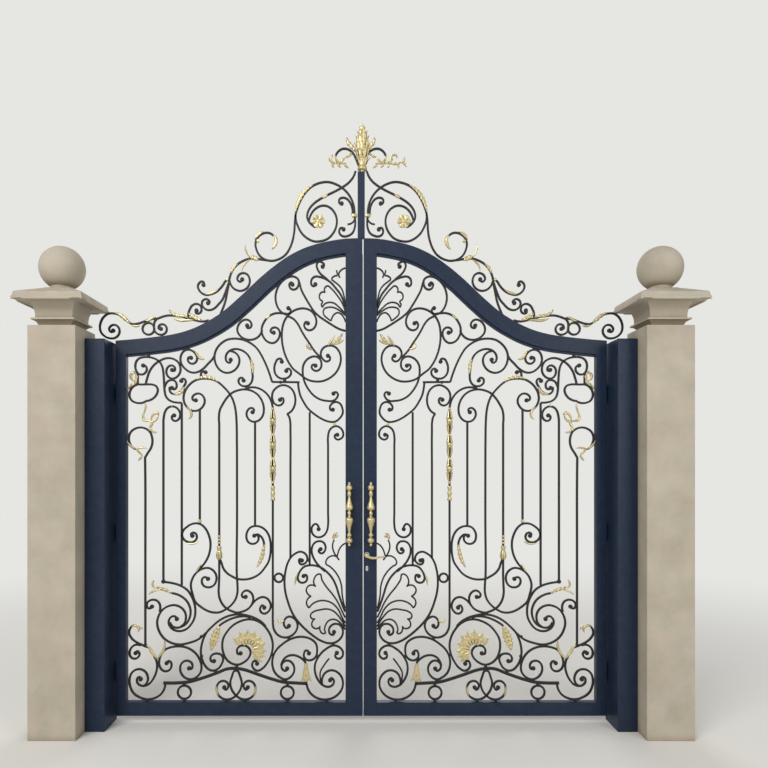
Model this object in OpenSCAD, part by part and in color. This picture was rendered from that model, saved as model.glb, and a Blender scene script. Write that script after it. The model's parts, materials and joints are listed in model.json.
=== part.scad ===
// Double-leaf wrought iron driveway gate with an arched scrollwork top,
// hung between two stone piers. Millimetres; Z up; the viewer stands on the -Y side.
// The origin is the middle of the left pier's foot.

/* [Leaves] */
// Distance from the gate's centre line to the outer face of each hinge stile
leaf_half_width = 1647; // [1600:1:1700]
// Thickness of the framed leaves, front to back
leaf_thickness = 50; // [40:1:60]
// Height of the leaves' underside above the ground
ground_gap = 40; // [25:1:70]
// Height of the bottom rail's face
bottom_rail_height = 90; // [70:1:120]
// Width of each hinge stile
hinge_stile_width = 70; // [55:1:90]
// Outer width of the pair of meeting stiles, astragal included
meeting_pair_width = 210; // [180:1:250]
// Gap between the two meeting stiles
meeting_gap = 8; // [6:0.5:12]
// How far the meeting gap lies right of the centre line
meeting_offset = 12; // [0:1:34]
// Depth of the arched top rail, measured square to the arch
top_rail_depth = 98; // [80:1:115]
// Height of the arch's crown above the ground
crown_height = 3242; // [3100:1:3400]
// Width of the thin bar that lines the arch inside the top rail
arch_liner_width = 14; // [10:1:20]
// Thickness of the arch liner, front to back
arch_liner_thickness = 24; // [12:1:30]

/* [Scrollwork] */
// Width of the ordinary scroll bars
bar_width = 14; // [10:0.5:16]
// Thickness of the scroll bars, front to back
bar_thickness = 14; // [10:0.5:20]
// Width of the heavy bowed bar low in each leaf
heavy_bar_width = 20; // [14:0.5:24]
// Width of the finest leaf bars
fine_bar_width = 10.5; // [7:0.5:12]
// Radius of the solid snail at the end of a scroll
snail_radius = 14; // [10:0.5:16]
// Radius of the collars that hold bars together
collar_radius = 10; // [7:0.5:11]
// Widest crevice between two bars that their weld fills
weld_fill = 3; // [2:0.5:4]

/* [Posts and hinges] */
// Gap between a hinge stile and its post
hinge_gap = 8; // [6:0.5:14]
// Width of each steel post
post_width = 130; // [100:1:160]
// Depth of each steel post, front to back
post_depth = 211; // [150:1:260]
// How far the tops of the steel posts lie below the crown
post_drop = 702; // [660:1:780]
// Height of the lowest hinge above the ground
low_hinge_height = 260; // [200:1:400]
// Distance between two hinges of one leaf
hinge_spacing = 945; // [700:1:960]
// Length of one hinge barrel
barrel_length = 60; // [40:1:80]
// Outer radius of the hinge barrels
barrel_radius = 16; // [14:0.5:20]
// Radius of the hinge pins
pin_radius = 8; // [6:0.5:10]

/* [Handles and crest] */
// Distance of the left pull from the centre line
pull_left = 79; // [60:1:95]
// Distance of the right pull from the centre line
pull_right = 64; // [60:1:95]
// How far the pulls' middle line stands off the stiles
pull_reach = 45; // [40:1:60]
// Height of the pulls' lower ends above the ground
pull_low = 1183; // [1100:1:1250]
// Length of each pull
pull_length = 427; // [380:1:470]
// Distance of the lever's spindle from the centre line
lever_x = 38; // [34:1:50]
// Height of the lever above the ground
lever_z = 1120; // [1000:1:1200]
// Reach of the lever's arm from its spindle
lever_length = 122; // [100:1:140]
// How far the key plate lies below the lever
key_drop = 91; // [60:1:120]
// Width of the bar that stands on the crown
centre_bar_width = 48; // [36:1:56]
// Thickness of that bar, front to back
centre_bar_depth = 40; // [30:1:50]
// Height of that bar above the crown
centre_bar_height = 450; // [380:1:500]
// Height of the gilded finial on that bar
finial_height = 330; // [260:1:380]
// Distance of the finial's middle from the centre line
finial_x = 8; // [0:1:12]

/* [Gilding] */
// How far the gilded leaves stand proud of the bars, front and back
leaf_relief = 4; // [2:0.5:7]
// Depth of the scallops along the leaves' edges, as part of the width
scallop = 0.22; // [0:0.02:0.4]
// Distance between two scallops
scallop_pitch = 30; // [20:1:45]
// Largest radius of the husks on the upright bars
husk_radius = 22; // [16:0.5:26]
// Distance between two husks of the long chain
husk_pitch = 160; // [130:1:180]
// Radius of the beads between the husks
bead_radius = 11; // [10:0.5:14]

/* [Piers] */
// Width of each square stone pier
pier_width = 300; // [260:1:360]
// How far each pier stands forward of the leaves' middle
pier_forward = 318; // [250:1:380]
// Height of the plain pier shaft
shaft_height = 2599; // [2500:1:2700]
// How far the cap's neck is set back from the shaft's faces
neck_inset = 46; // [20:1:60]
// How far the cap's fascia stands out beyond the shaft
cap_projection = 69; // [40:1:90]
// Height of the bell between the cap's neck and its fascia
bell_height = 96; // [60:1:120]
// Height of the cap's fascia
fascia_height = 46; // [30:1:60]
// Radius of the round seat under the ball
seat_radius = 72; // [50:1:90]
// Radius of the stone ball
ball_radius = 141; // [110:1:170]

/* [Hidden] */
$fn = 48;
half_t = leaf_thickness / 2;
post_inner = leaf_half_width + hinge_gap;
post_outer = post_inner + post_width;
post_height = crown_height - post_drop;
pier_mid = post_outer + pier_width / 2;
// The gate's centre line and the leaves' middle plane seen from the origin
gate_x = pier_mid;
gate_y = pier_forward - pier_width / 2;
opening_in = meeting_pair_width / 2;
opening_out = leaf_half_width - hinge_stile_width;
opening_low = ground_gap + bottom_rail_height;
meet_left = meeting_offset - meeting_gap / 2;
meet_right = meeting_offset + meeting_gap / 2;
barrel_y = half_t + barrel_radius + 2;
hinge_x = leaf_half_width + hinge_gap / 2;
running = 0.05;
leaf_clearance = 6;
seating = 0.2;
beyond = 500;

// Upper edge of the arched rail: distance from the centre line, height
arch_edge = [
    [0, 3242], [100, 3240], [200, 3226], [300, 3204], [388, 3174], [478, 3129],
    [548, 3083], [617, 3030], [687, 2970], [742, 2918], [800, 2862], [862, 2806],
    [930, 2749], [998, 2704], [1070, 2664], [1140, 2633], [1220, 2608], [1310, 2590],
    [1424, 2576], [1554, 2563], [1647, 2556]];

// Points of the gate's drawing moved to the stated sizes. The drawing was measured in
// the plane of the frame's front face, from an eye height, and the bars lie behind it.
eye_height = 1750;
plane_scale = 1.0058;
u_scale = (opening_out - opening_in) / 1472;
z_scale = (crown_height - opening_low) / 3112;
function placed(p) = [opening_in + (p[0] * plane_scale - 105) * u_scale,
    opening_low + (eye_height + (p[1] - eye_height) * plane_scale - 130) * z_scale];

// A smooth curve through points: arcs that share their tangents
function unit(v) = v / max(norm(v), 0.000001);
function corner(a, b, c) = unit(unit(b - a) * norm(c - b) + unit(c - b) * norm(b - a));
function mirrored(t, c) = 2 * (t * c) * c - t;
function tangent(p, i) =
    len(p) < 3 ? unit(p[1] - p[0])
    : i == 0 ? mirrored(corner(p[0], p[1], p[2]), unit(p[1] - p[0]))
    : i == len(p) - 1 ? mirrored(corner(p[i - 2], p[i - 1], p[i]), unit(p[i] - p[i - 1]))
    : corner(p[i - 1], p[i], p[i + 1]);
function turn(a, b) = acos(max(-1, min(1, a * b)));
function blend(p, q, a, b, s) =
    (2 * s * s * s - 3 * s * s + 1) * p + (s * s * s - 2 * s * s + s) * a
    + (3 * s * s - 2 * s * s * s) * q + (s * s * s - s * s) * b;
function piece(p, i, step) = let (
    a = tangent(p, i),
    b = tangent(p, i + 1),
    bend = max(turn(a, unit(p[i + 1] - p[i])), turn(unit(p[i + 1] - p[i]), b)) * 2,
    m = norm(p[i + 1] - p[i]) / pow(cos(min(bend, 170) / 4), 2),
    n = max(1, ceil(bend / step)))
    [for (k = [0 : n - 1]) blend(p[i], p[i + 1], a * m, b * m, k / n)];
function smooth(p, step = 26) =
    concat([for (i = [0 : len(p) - 2]) each piece(p, i, step)], [p[len(p) - 1]]);
function side_of(p, i, d) = let (
    a = p[max(0, i - 1)],
    b = p[min(len(p) - 1, i + 1)],
    t = unit(b - a))
    p[i] + d * [-t[1], t[0]];
function shifted(p, d) = [for (i = [0 : len(p) - 1]) side_of(p, i, d)];

// Each bar of the drawing: size (0 ordinary, 1 heavy, 2 fine), snail at the start,
// snail at the end (1 yes, 0 no), and the points its middle line passes through.
lower_bars = [
    [1, 0, 0, [[361,258],[444,262],[522,268],[600,289],[704,324],[777,349],[845,360],[904,354],[956,333],
        [1018,310],[1091,286],[1154,269],[1216,263],[1325,262]]],
    [0, 0, 0, [[365,257],[347,203],[300,163],[231,151],[160,180],[122,250],[140,315],[200,347],[245,325],[261,290],[262,255]]],
    [0, 1, 1, [[163,463],[174,445],[153,424],[128,437],[121,462],[137,494],[179,513],[236,489],[283,442],
        [309,385],[309,333],[288,281],[257,247],[217,236],[186,256],[187,285],[205,292],[208,280]]],
    [2, 0, 0, [[215,425],[252,375],[273,338],[275,302],[262,258]]],
    [0, 1, 1, [[350,460],[363,479],[384,455],[378,427],[348,413],[310,430],[295,484],[304,526],[340,557],[397,571],
        [470,557],[522,526],[574,474],[594,422],[594,375],[579,333],[548,302],[506,286],[467,307],[448,349],
        [457,388],[491,412],[522,400],[534,375],[524,350],[504,344],[496,358]]],
    [0, 0, 0, [[371,396],[413,435],[452,448],[491,442],[522,416],[536,380]]],
    [0, 1, 1, [[697,391],[712,409],[730,388],[722,359],[696,344],[657,362],[626,401],[600,458],[592,510],[600,562],
        [629,619],[668,661],[709,682],[755,688],[812,674],[862,645],[899,604],[925,557],[931,512],[925,468],
        [904,422],[868,393],[826,384],[783,402],[750,436],[741,470],[757,500],[792,513],[823,500],[832,477],[822,455],[808,460]]],
    [0, 0, 1, [[1003,635],[1029,609],[1055,562],[1070,510],[1074,458],[1065,416],[1044,375],[1018,351],[990,344],
        [956,359],[933,393],[925,427],[938,450],[969,459],[1000,448],[1010,425],[1000,405],[986,408]]],
    [0, 0, 0, [[704,693],[756,712],[808,721],[852,719],[904,705],[956,676],[1003,635],[1044,593],[1091,554],[1154,530],
        [1216,519],[1278,533],[1325,565],[1356,614],[1367,666],[1354,718],[1325,757],[1289,777],[1252,783],
        [1211,770],[1182,739],[1174,697],[1185,661],[1206,642]]],
    [0, 0, 0, [[770,708],[800,708],[852,698],[904,676],[951,645]]],
    [0, 0, 1, [[1351,739],[1346,770],[1351,793],[1369,813],[1398,819],[1427,806],[1437,783],[1429,764],[1412,762],[1402,773]]],
    [0, 0, 0, [[1533,645],[1549,624],[1554,593],[1538,562],[1507,536],[1471,518],[1424,500]]],
    [0, 0, 1, [[1476,513],[1507,518],[1538,500],[1551,468],[1544,437],[1518,424],[1492,437],[1487,463],[1502,474],[1511,462]]],
    [0, 0, 1, [[1388,442],[1372,411],[1367,370],[1377,323],[1398,281],[1424,253],[1455,242],[1487,250],[1503,277],[1492,300],[1478,298],[1477,286]]],
    [0, 0, 0, [[1312,255],[1320,219],[1346,182],[1388,159],[1434,152],[1486,167],[1528,198],[1549,245],[1551,292],[1538,328],
        [1512,349],[1481,354],[1450,341],[1432,312],[1429,281],[1442,255],[1458,243]]],
    [0, 1, 1, [[1303,395],[1290,408],[1274,398],[1271,375],[1284,349],[1312,340],[1341,356],[1354,390],[1350,425],[1336,458],
        [1312,485],[1268,502],[1216,507],[1164,497],[1117,468],[1086,427],[1070,375],[1076,333],[1102,302],
        [1138,286],[1174,294],[1204,323],[1213,359],[1200,396],[1169,411],[1138,398],[1130,375],[1138,356],[1153,360]]],
    [0, 1, 1, [[917,232],[905,217],[893,228],[890,250],[908,272],[932,275],[955,262],[967,238],[968,210],[960,186],
        [938,163],[902,151],[866,158],[834,182],[809,219],[800,260],[810,302],[838.5,345],[867,302],[877,260],
        [868,219],[843,182],[811,158],[775,151],[739,163],[717,186],[709,210],[710,238],[722,262],[745,275],[769,272],
        [787,250],[784,228],[772,217],[760,232]]],
    [0, 1, 0, [[774,838],[786,834],[799,846],[792,869],[766,881],[738,866],[723,832],[733,788],[759,757],[798,739],[834,733],
        [862,741],[896,757],[927,786],[948,827],[955,869],[953,920],[951,980],[951,1050],[951,1150],[951,1300],[951,1500],[951,1800],[951,2000]]],
    [0, 1, 0, [[649,766],[657,780],[677,762],[673,739],[647,726],[621,741],[606,773],[613,806],[634,830],[662,837],[694,825],[722,800],[736,780]]],
    [0, 0, 1, [[592,2112],[592,1800],[592,1460],[592,1300],[592,1100],[592,900],[592,744],[592,680],[584,619],[564,588],[532,570],[496,567],[460,583],
        [434,614],[426,645],[434,676],[454,697],[486,706],[508,692],[518,665],[512,640],[496,630],[484,644]]],
    [0, 1, 1, [[397,1082],[410,1092],[416,1073],[402,1056],[382,1060],[363,1080],[363,1108],[382,1133],[408,1141],[439,1130],
        [465,1110],[491,1068],[506,1016],[513,964],[513,912],[506,860],[491,806],[475,760],[449,708],[413,661],
        [366,614],[314,572],[262,541],[215,528],[174,533],[137,562],[123,593],[127,630],[148,653],[174,658],
        [202,645],[216,614],[205,588],[187,585],[182,603]]],
    [0, 0, 1, [[1325,2000],[1325,1600],[1325,1200],[1325,1000],[1325,941]]],
    [0, 0, 1, [[1329,938],[1268,931],[1216,916],[1164,883],[1138,845],[1118,796],[1111,744],[1117,697],[1138,656],[1169,624],
        [1211,609],[1250,615],[1278,637],[1290,668],[1281,696],[1258,709],[1240,702],[1235,690]]],
    [0, 0, 0, [[1268,863],[1216,848],[1174,817],[1148,770],[1143,728],[1154,687],[1174,656],[1206,638],[1242,632],[1268,645],[1281,668]]],
    [0, 0, 0, [[1446,2200],[1446,1800],[1446,1200],[1446,800],[1446,518]]],
    [0, 0, 0, [[1202,2136],[1202,1800],[1202,1400],[1202,918]]],
    [0, 0, 0, [[1081,2090],[1081,1800],[1081,1500],[1081,1325]]],
    [0, 0, 0, [[345,2075],[345,1800],[345,1400],[345,1050]]],
    [0, 0, 0, [[474,1100],[474,1400],[474,1700],[474,1950],[476,2016],[484,2047],[497,2064]]],
    [0, 0, 0, [[711,1320],[711,1500],[711,1700],[711,2010]]],
];
middle_bars = [
    [0, 0, 1, [[1026,959],[1036,968],[1055,969],[1068,943],[1057,915],[1026,902],[992,912],[972,943],[972,985],[992,1016],
        [1024,1032],[1055,1029],[1091,1011],[1117,985],[1133,954],[1141,922],[1140,900],[1130,858],[1112,806],[1076,773],
        [1034,747],[992,734],[946,736],[904,757],[868,786],[842,822],[829,869],[829,920],[833,980],[834,1100],[832,1300],[832,1600],[833,1900],[835,2010],[840,2078],[850,2130],[868,2177],[888,2208],
        [914,2237],[951,2271],[990,2292],[1045,2300],[1085,2297],[1112,2288],[1145,2265],[1170,2235],[1186,2200],
        [1190,2165],[1178,2125],[1154,2098],[1122,2084],[1088,2090],[1060,2115],[1048,2150],[1058,2182],
        [1086,2200],[1115,2194],[1131,2172],[1124,2155],[1108,2155]]],
    [0, 1, 1, [[285,1292],[290,1316],[304,1327],[322,1318],[332,1294],[326,1262],[300,1240],[278,1238],[248,1252],[228,1284],[222,1320],[222,1400],
        [222,1500],[222,1700],[222,1850],[222,1914],[214,1950],[196,1972],[170,1982],[142,1972],[122,1944],[122,1914],[140,1896],[160,1892],[176,1906],[174,1924],[160,1924]]],
    [0, 0, 0, [[946,1089],[935,1063],[925,1032],[899,998],[862,974],[831,959],[800,955],[766,956],[720,969],[678,995],
        [647,1032],[621,1073],[610,1115],[606,1162],[609,1214],[621,1255],[642,1286],[673,1307],[709,1313],
        [742,1303],[764,1273],[769,1236],[756,1205],[727,1193],[700,1203],[687,1229],[697,1254]]],
    [0, 0, 1, [[652,1172],[655,1214],[670,1241],[697,1257],[716,1248]]],
    [0, 0, 1, [[1089,1019],[1076,1032],[1050,1063],[1024,1110],[1011,1162],[1011,1214],[1024,1260],[1044,1297],
        [1076,1325],[1105,1331],[1135,1326],[1165,1307],[1192,1278],[1196,1255],[1185,1234],[1160,1218],
        [1135,1210],[1112,1205],[1100,1230],[1105,1258],[1125,1273],[1142,1262],[1132,1252]]],
];
upper_bars = [
    [0, 0, 1, [[1202,2139],[1237,2140],[1266,2146],[1291,2160],[1308,2182],[1316,2212],[1319,2245],[1321,2285],[1323,2318],
        [1326,2350],[1333,2382],[1350,2412],[1383,2434],[1422,2444],[1460,2444],[1490,2434],[1508,2412],[1513,2384],
        [1507,2354],[1490,2332],[1466,2328],[1444,2342],[1436,2366],[1446,2386],[1460,2388]]],
    [0, 0, 1, [[1318,2240],[1309,2264],[1298,2280],[1277,2290],[1254,2288],[1240,2274],[1236,2254],[1243,2234],[1258,2228],[1268,2238]]],
    [0, 1, 0, [[1253,2054],[1266,2050],[1268,2036],[1254,2018],[1233,2020],[1216,2039],[1212,2063],[1221,2088],[1240,2107],[1268,2114],
        [1296,2104],[1313,2080],[1322,2045],[1325,2000]]],
    [0, 1, 0, [[1266,2358],[1254,2352],[1247,2368],[1266,2388],[1296,2376],[1305,2350],[1299,2323],[1278,2303],[1253,2302],[1226,2320],[1212,2347],
        [1212,2379],[1226,2410],[1254,2430],[1285,2438],[1318,2434],[1349,2420],[1376,2402],[1400,2377],[1419,2346],
        [1432,2308],[1440,2270],[1445,2230],[1446,2190]]],
    [0, 0, 0, [[1498,2330],[1497,2290],[1500,2262],[1520,2252],[1540,2232],[1551,2205],[1550,2178],[1536,2153],[1512,2138],[1484,2134]]],
    [0, 0, 0, [[1500,2262],[1462,2261],[1427,2262],[1398,2260],[1374,2250],[1363,2230],[1367,2202],[1382,2178],[1406,2160],[1446,2150]]],
    [0, 0, 1, [[982,2455],[998,2429],[1024,2402],[1052,2372],[1081,2351],[1115,2340],[1148,2345],[1178,2365],[1202,2395],
        [1211,2430],[1204,2463],[1186,2486],[1160,2494],[1133,2487],[1110,2466],[1099,2438],[1107,2412],[1128,2400],
        [1152,2408],[1161,2429],[1152,2444],[1140,2440]]],
    [0, 0, 1, [[1068,2302],[1074,2326],[1064,2347],[1043,2343]]],
    [0, 1, 0, [[1205,2285],[1197,2299],[1182,2296],[1175,2280],[1180,2262],[1190,2246],[1200,2225],[1222,2205],[1248,2196]]],
    [0, 0, 0, [[1281,2245],[1283,2222],[1271,2203],[1248,2196]]],
    [0, 0, 0, [[413,2276],[500,2277],[597,2278]]],
    [0, 0, 1, [[423,2277],[418,2229],[408,2188],[387,2146],[356,2099],[314,2063],[267,2032],[220,2013],[179,2011],
        [142,2037],[124,2068],[127,2104],[142,2133],[171,2144],[198,2131],[210,2106],[200,2088],[190,2092]]],
    [0, 0, 1, [[497,2064],[470,2080],[450,2110],[441,2150],[445,2190],[461,2225],[490,2249],[532,2256],[564,2242],
        [587,2219],[597,2188],[593,2156],[577,2130],[551,2120],[529,2131],[520,2151],[529,2170],[544,2158]]],
    [0, 0, 0, [[597,2278],[605,2305],[621,2352],[642,2404],[668,2456],[699,2503],[740,2537],[790,2560],[857,2568],
        [900,2560],[937,2537],[965,2505],[980,2470],[982,2430],[970,2390],[945,2357],[904,2339],[862,2348],
        [831,2375],[816,2413],[823,2452],[846,2475],[875,2484]]],
    [0, 1, 1, [[874,2427],[880,2408],[898,2412],[907,2432],[903,2462],[885,2484],[850,2498],[808,2493],[772,2472],[746,2438],[735,2400],
        [730,2349],[727,2312],[733,2281],[751,2257],[777,2249],[808,2258],[822,2281],[813,2303],[794,2304],[788,2288]]],
    [0, 0, 0, [[594,2112],[600,2141],[616,2177],[642,2208],[673,2229],[709,2241],[746,2241],[777,2232]]],
    [0, 1, 0, [[728,2075],[718,2092],[736,2104],[757,2093],[768,2066],[757,2032],[727,2012],[692,2017],[662,2047],
        [652,2089],[657,2130],[673,2167],[699,2198],[735,2219],[782,2228],[824,2222],[868,2203],[899,2172],
        [928,2128],[947,2089],[953,2047],[951,2000]]],
    [0, 1, 1, [[223,2453],[209,2443],[212,2424],[232,2415],[258,2432],[271,2466],[257,2502],[220,2521],[179,2515],
        [148,2482],[136,2435],[144,2388],[168,2342],[205,2308],[262,2283],[309,2281],[356,2292],[418,2336],
        [454,2364],[480,2399],[506,2451],[522,2503],[531,2560],[531,2612],[519,2654],[496,2690],[465,2721],
        [434,2742],[397,2754],[361,2752],[330,2737],[309,2714],[300,2680],[309,2648],[330,2628],[356,2625],
        [378,2643],[380,2667],[366,2680],[357,2671]]],
    [0, 1, 1, [[306,2387],[322,2394],[332,2378],[322,2360],[298,2352],[275,2366],[266,2399],[276,2430],[304,2448],[340,2443],
        [371,2420],[388,2388],[392,2350],[388,2310],[376,2270],[350,2224],[314,2184],[272,2160],[226,2151],
        [184,2153],[163,2172],[156,2196],[170,2210],[186,2200]]],
    [0, 0, 0, [[486,2702],[444,2686],[418,2655],[397,2612],[371,2570],[345,2534],[318,2492],[290,2460],[268,2440]]],
    [0, 0, 1, [[105,2620],[148,2633],[194,2659],[241,2689],[280,2716],[314,2748],[345,2794],[376,2846],[402,2898],
        [413,2940],[424,2967],[449,2983],[484,2981],[517,2963],[545,2929],[564,2888],[569,2841],[561,2794],
        [543,2758],[520,2738],[496,2738],[488,2762]]],
    [0, 1, 0, [[453,2925],[450,2908],[438,2892],[424,2905],[414,2925],[413,2945]]],
    [0, 0, 1, [[496,2728],[532,2727],[564,2723],[595,2711],[622,2696],[645,2674],[660,2648],[666,2620],[660,2590],
        [642,2560],[616,2542],[588,2539],[563,2555],[548,2582],[546,2612],[558,2635],[582,2643],[603,2631],
        [605,2612],[586,2608]]],
    [0, 0, 1, [[664,2625],[672,2602],[690,2580],[716,2565],[751,2560],[784,2568],[810,2586],[827,2612],[829,2640],
        [817,2668],[793,2690],[764,2695],[741,2680],[735,2655],[748,2640],[766,2644],[764,2656]]],
    [0, 1, 1, [[532,2414],[536,2432],[553,2433],[575,2404],[582,2368],[574,2331],[548,2305],[515,2300],[486,2311],
        [470,2335],[476,2360],[495,2366],[502,2352]]],
];
// Fine bars that draw the open acanthus leaves beside the meeting stiles
leaf_bars = [
    [2, 0, 0, [[108,664],[129,702],[158,760],[200,799],[252,814],[304,804],[335,783],[348,765]]],
    [2, 0, 0, [[348,765],[366,793],[360,822],[335,842]]],
    [2, 0, 0, [[335,842],[358,858],[368,882],[352,912],[330,918],[304,907]]],
    [2, 0, 0, [[304,907],[318,933],[314,962],[298,985],[282,992],[262,950],[233,905],[194,858],[160,808],[132,750],[108,700]]],
    [2, 0, 0, [[108,640],[137,690],[158,717],[184,742],[226,757],[272,752],[314,741],[338,720],[337,700],[309,692]]],
    [2, 0, 0, [[309,692],[328,671],[330,645],[309,627],[288,628],[275,642]]],
    [2, 0, 0, [[275,642],[275,612],[260,594],[243,594],[246,620],[239,648],[224,673],[194,688],[163,682],[137,661],[108,620]]],
    [0, 0, 1, [[108,740],[132,800],[152,860],[168,912],[194,964],[231,1006],[267,1034],[304,1047],[345,1050],[382,1040],
        [406,1016],[420,988],[424,958],[412,938],[390,933],[368,944],[362,968],[372,986],[386,978]]],
    [2, 0, 0, [[108,760],[127,850],[132,912],[148,964],[174,1006],[210,1042],[236,1060],[231,1089],[210,1108],[184,1114],
        [160,1104]]],
    [2, 0, 0, [[146,1086],[160,1104],[156,1130],[142,1165],[122,1188],[105,1197]]],
    [2, 0, 0, [[160,1104],[176,1125],[190,1160],[191,1190],[180,1220]]],
    [0, 0, 1, [[240,1008],[262,1026],[288,1052],[314,1089],[330,1130],[330,1167],[314,1198],[288,1211],[257,1206],
        [239,1177],[244,1146],[262,1130],[280,1136],[284,1152],[272,1158]]],
    [2, 0, 0, [[105,2745],[124,2799],[168,2867],[200,2903],[228,2921],[246,2901],[241,2877]]],
    [2, 0, 0, [[241,2877],[264,2879],[280,2856],[275,2830],[259,2817],[267,2796],[259,2778]]],
    [2, 0, 0, [[259,2778],[246,2799],[215,2811],[179,2804],[148,2778],[105,2735]]],
    [2, 0, 0, [[105,2722],[148,2758],[184,2776],[220,2778],[246,2768],[254,2752],[249,2726],[231,2708],[202,2687]]],
    [2, 0, 0, [[202,2687],[194,2711],[179,2732],[158,2742],[137,2734],[112,2700],[105,2680]]],
    [0, 0, 1, [[108,2770],[119,2820],[137,2862],[168,2903],[205,2945],[246,2971],[278,2981],[306,2984],[325,2974],
        [335,2950],[331,2926],[314,2920],[307,2932]]],
    [2, 0, 0, [[108,2780],[116,2856],[129,2898],[153,2929],[184,2953],[197,2966],[184,2984],[158,2989]]],
    [2, 0, 0, [[142,2977],[150,2992],[146,3012],[130,3030],[105,3041]]],
    [2, 0, 0, [[150,2992],[160,3004],[163,3026]]],
    [0, 0, 1, [[225,2962],[241,2976],[272,3002],[291,3030],[298,3062],[284,3084],[262,3078],[248,3062],[258,3050]]],
];
// Collars where bars touch one another or the frame
collars = [[493,141], [493,253], [1184,141], [1184,254], [506,277], [231,139], [902,139], [775,139], [1434,139],
    [186,521], [295,440], [597,452], [484,558], [834,371], [975,334], [1069,440], [1360,395], [1446,516],
    [512,2288], [486,2990], [1158,2503], [1425,2456], [1072,572], [350,1084], [599,2160], [1066,2310],
    [186,2150], [541,2276]];
rings = [[495, 197, 44], [1184, 200, 45], [552, 966, 29]];
over_bars = [
    [0, 0, 0, [[38,3690],[52,3652],[82,3614],[127,3581],[172,3556],[225,3530],[276,3502],[313,3476],[343,3443],
        [360,3405],[361,3375],[348,3348],[328,3328],[306,3314]]],
    [0, 0, 0, [[46,3384],[46,3435],[59,3487],[89,3540],[127,3577],[172,3603],[224,3617],[276,3611],[321,3593],
        [370,3550],[405,3495],[428,3440],[439,3398],[437,3361],[422,3316],[396,3271],[358,3238],[313,3219],
        [269,3221],[224,3237],[190,3271],[168,3316],[163,3361],[175,3405],[201,3439],[239,3458],[276,3455],
        [313,3432],[336,3400],[349,3362]]],
    [0, 0, 1, [[59,3396],[58,3425],[64,3455],[78,3485],[98,3505],[122,3512],[142,3505],[149,3489],[143,3474],[131,3473]]],
    [2, 0, 0, [[44,3370],[52,3352],[68,3339],[92,3334]]],
    [0, 0, 1, [[44,3384],[40,3345],[44,3308],[60,3274],[90,3256],[120,3253],[142,3268],[147,3292],[132,3310],[118,3300]]],
    [0, 0, 0, [[439,3398],[444,3353],[448,3286],[459,3226],[478,3174],[508,3129],[552,3100],[600,3089],[645,3098],
        [680,3124],[700,3160],[708,3200],[700,3235],[676,3262],[645,3276],[615,3275],[588,3258]]],
    [0, 0, 0, [[600,3089],[650,3095],[700,3102],[745,3104],[784,3092],[820,3072],[848,3046],[868,3014],[880,2978],
        [885,2945],[891,2912],[898,2876],[906,2834],[918,2793],[936,2748],[948,2720]]],
    [0, 1, 0, [[797,2965],[808,2950],[826,2958],[824,2988],[795,3007],[764,2998],[747,2966],[752,2926],[777,2898],
        [808,2888],[842,2896],[866,2917],[880,2947],[884,2975]]],
    [0, 0, 1, [[888,2940],[899,2907],[914,2866],[930,2829],[956,2798],[982,2772],[1008,2760],[1034,2761],[1055,2775],
        [1067,2798],[1063,2820],[1046,2832],[1026,2829],[1016,2812],[1026,2806]]],
    [0, 0, 1, [[888,2965],[909,2953],[925,2928],[951,2897],[972,2880],[1005,2866],[1045,2862],[1068,2873],[1086,2893],
        [1094,2918],[1084,2942],[1064,2951],[1052,2940],[1056,2928]]],
    [0, 1, 0, [[1103,2757],[1108,2742],[1090,2736],[1074,2747],[1070,2770],[1082,2793],[1106,2801],[1132,2790],[1149,2763],
        [1158,2735],[1156,2706]]],
    [0, 0, 0, [[1020,2692],[1060,2683],[1110,2690],[1156,2704],[1205,2716],[1258,2722],[1294,2723],[1333,2714],[1366,2702],
        [1405,2700],[1450,2684],[1500,2668],[1541,2668],[1572,2696],[1610,2722],[1660,2737],[1690,2736],
        [1720,2718],[1742,2685],[1750,2646],[1743,2612],[1718,2584],[1682,2570],[1647,2574],[1623,2598],
        [1621,2635],[1650,2660],[1680,2650],[1687,2625],[1672,2612],[1661,2622]]],
    [0, 0, 1, [[1366,2702],[1384,2680],[1388,2650],[1384,2620],[1364,2600],[1338,2594],[1312,2606],[1302,2632],[1312,2656],
        [1336,2664],[1356,2650],[1352,2632],[1342,2634]]],
];
over_rings = [[1425, 2634, 40]];

// Flat drawings
module bar(width, p) {
    q = smooth(p);
    a = shifted(q, width / 2);
    b = shifted(q, -width / 2);
    for (k = [0 : 10 : len(q) - 2]) {
        e = min(k + 10, len(q) - 1);
        polygon(concat([for (i = [k : e]) a[i]], [for (i = [e : -1 : k]) b[i]]));
    }
}
module drawn(list) {
    for (b = list) {
        p = [for (q = b[3]) placed(q)];
        bar(b[0] == 1 ? heavy_bar_width : b[0] == 2 ? fine_bar_width : bar_width, p);
        if (b[1] == 1) translate(p[0]) circle(snail_radius, $fn = 14);
        if (b[2] == 1) translate(p[len(p) - 1]) circle(snail_radius, $fn = 14);
    }
}
module drawn_collars(list) {
    for (c = list) translate(placed(c)) circle(collar_radius, $fn = 12);
}
module drawn_rings(list) {
    for (r = list)
        translate(placed([r[0], r[1]])) difference() {
            circle(r[2] + bar_width / 2, $fn = 40);
            circle(r[2] - bar_width / 2, $fn = 40);
        }
}
arch_top = smooth([for (p = arch_edge) [p[0] * leaf_half_width / 1647,
    opening_low + (p[1] - 130) * z_scale]], 6);
arch_under = shifted(arch_top, -top_rail_depth);
arch_clear = shifted(arch_top, -top_rail_depth - arch_liner_width);
module below(p) {
    polygon(concat([[-beyond, 0]], [[-beyond, p[0][1]]], p, [[leaf_half_width + beyond, p[len(p) - 1][1]]],
        [[leaf_half_width + beyond, 0]]));
}
module box_2d(u0, u1, z0, z1) translate([u0, z0]) square([u1 - u0, z1 - z0]);
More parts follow.
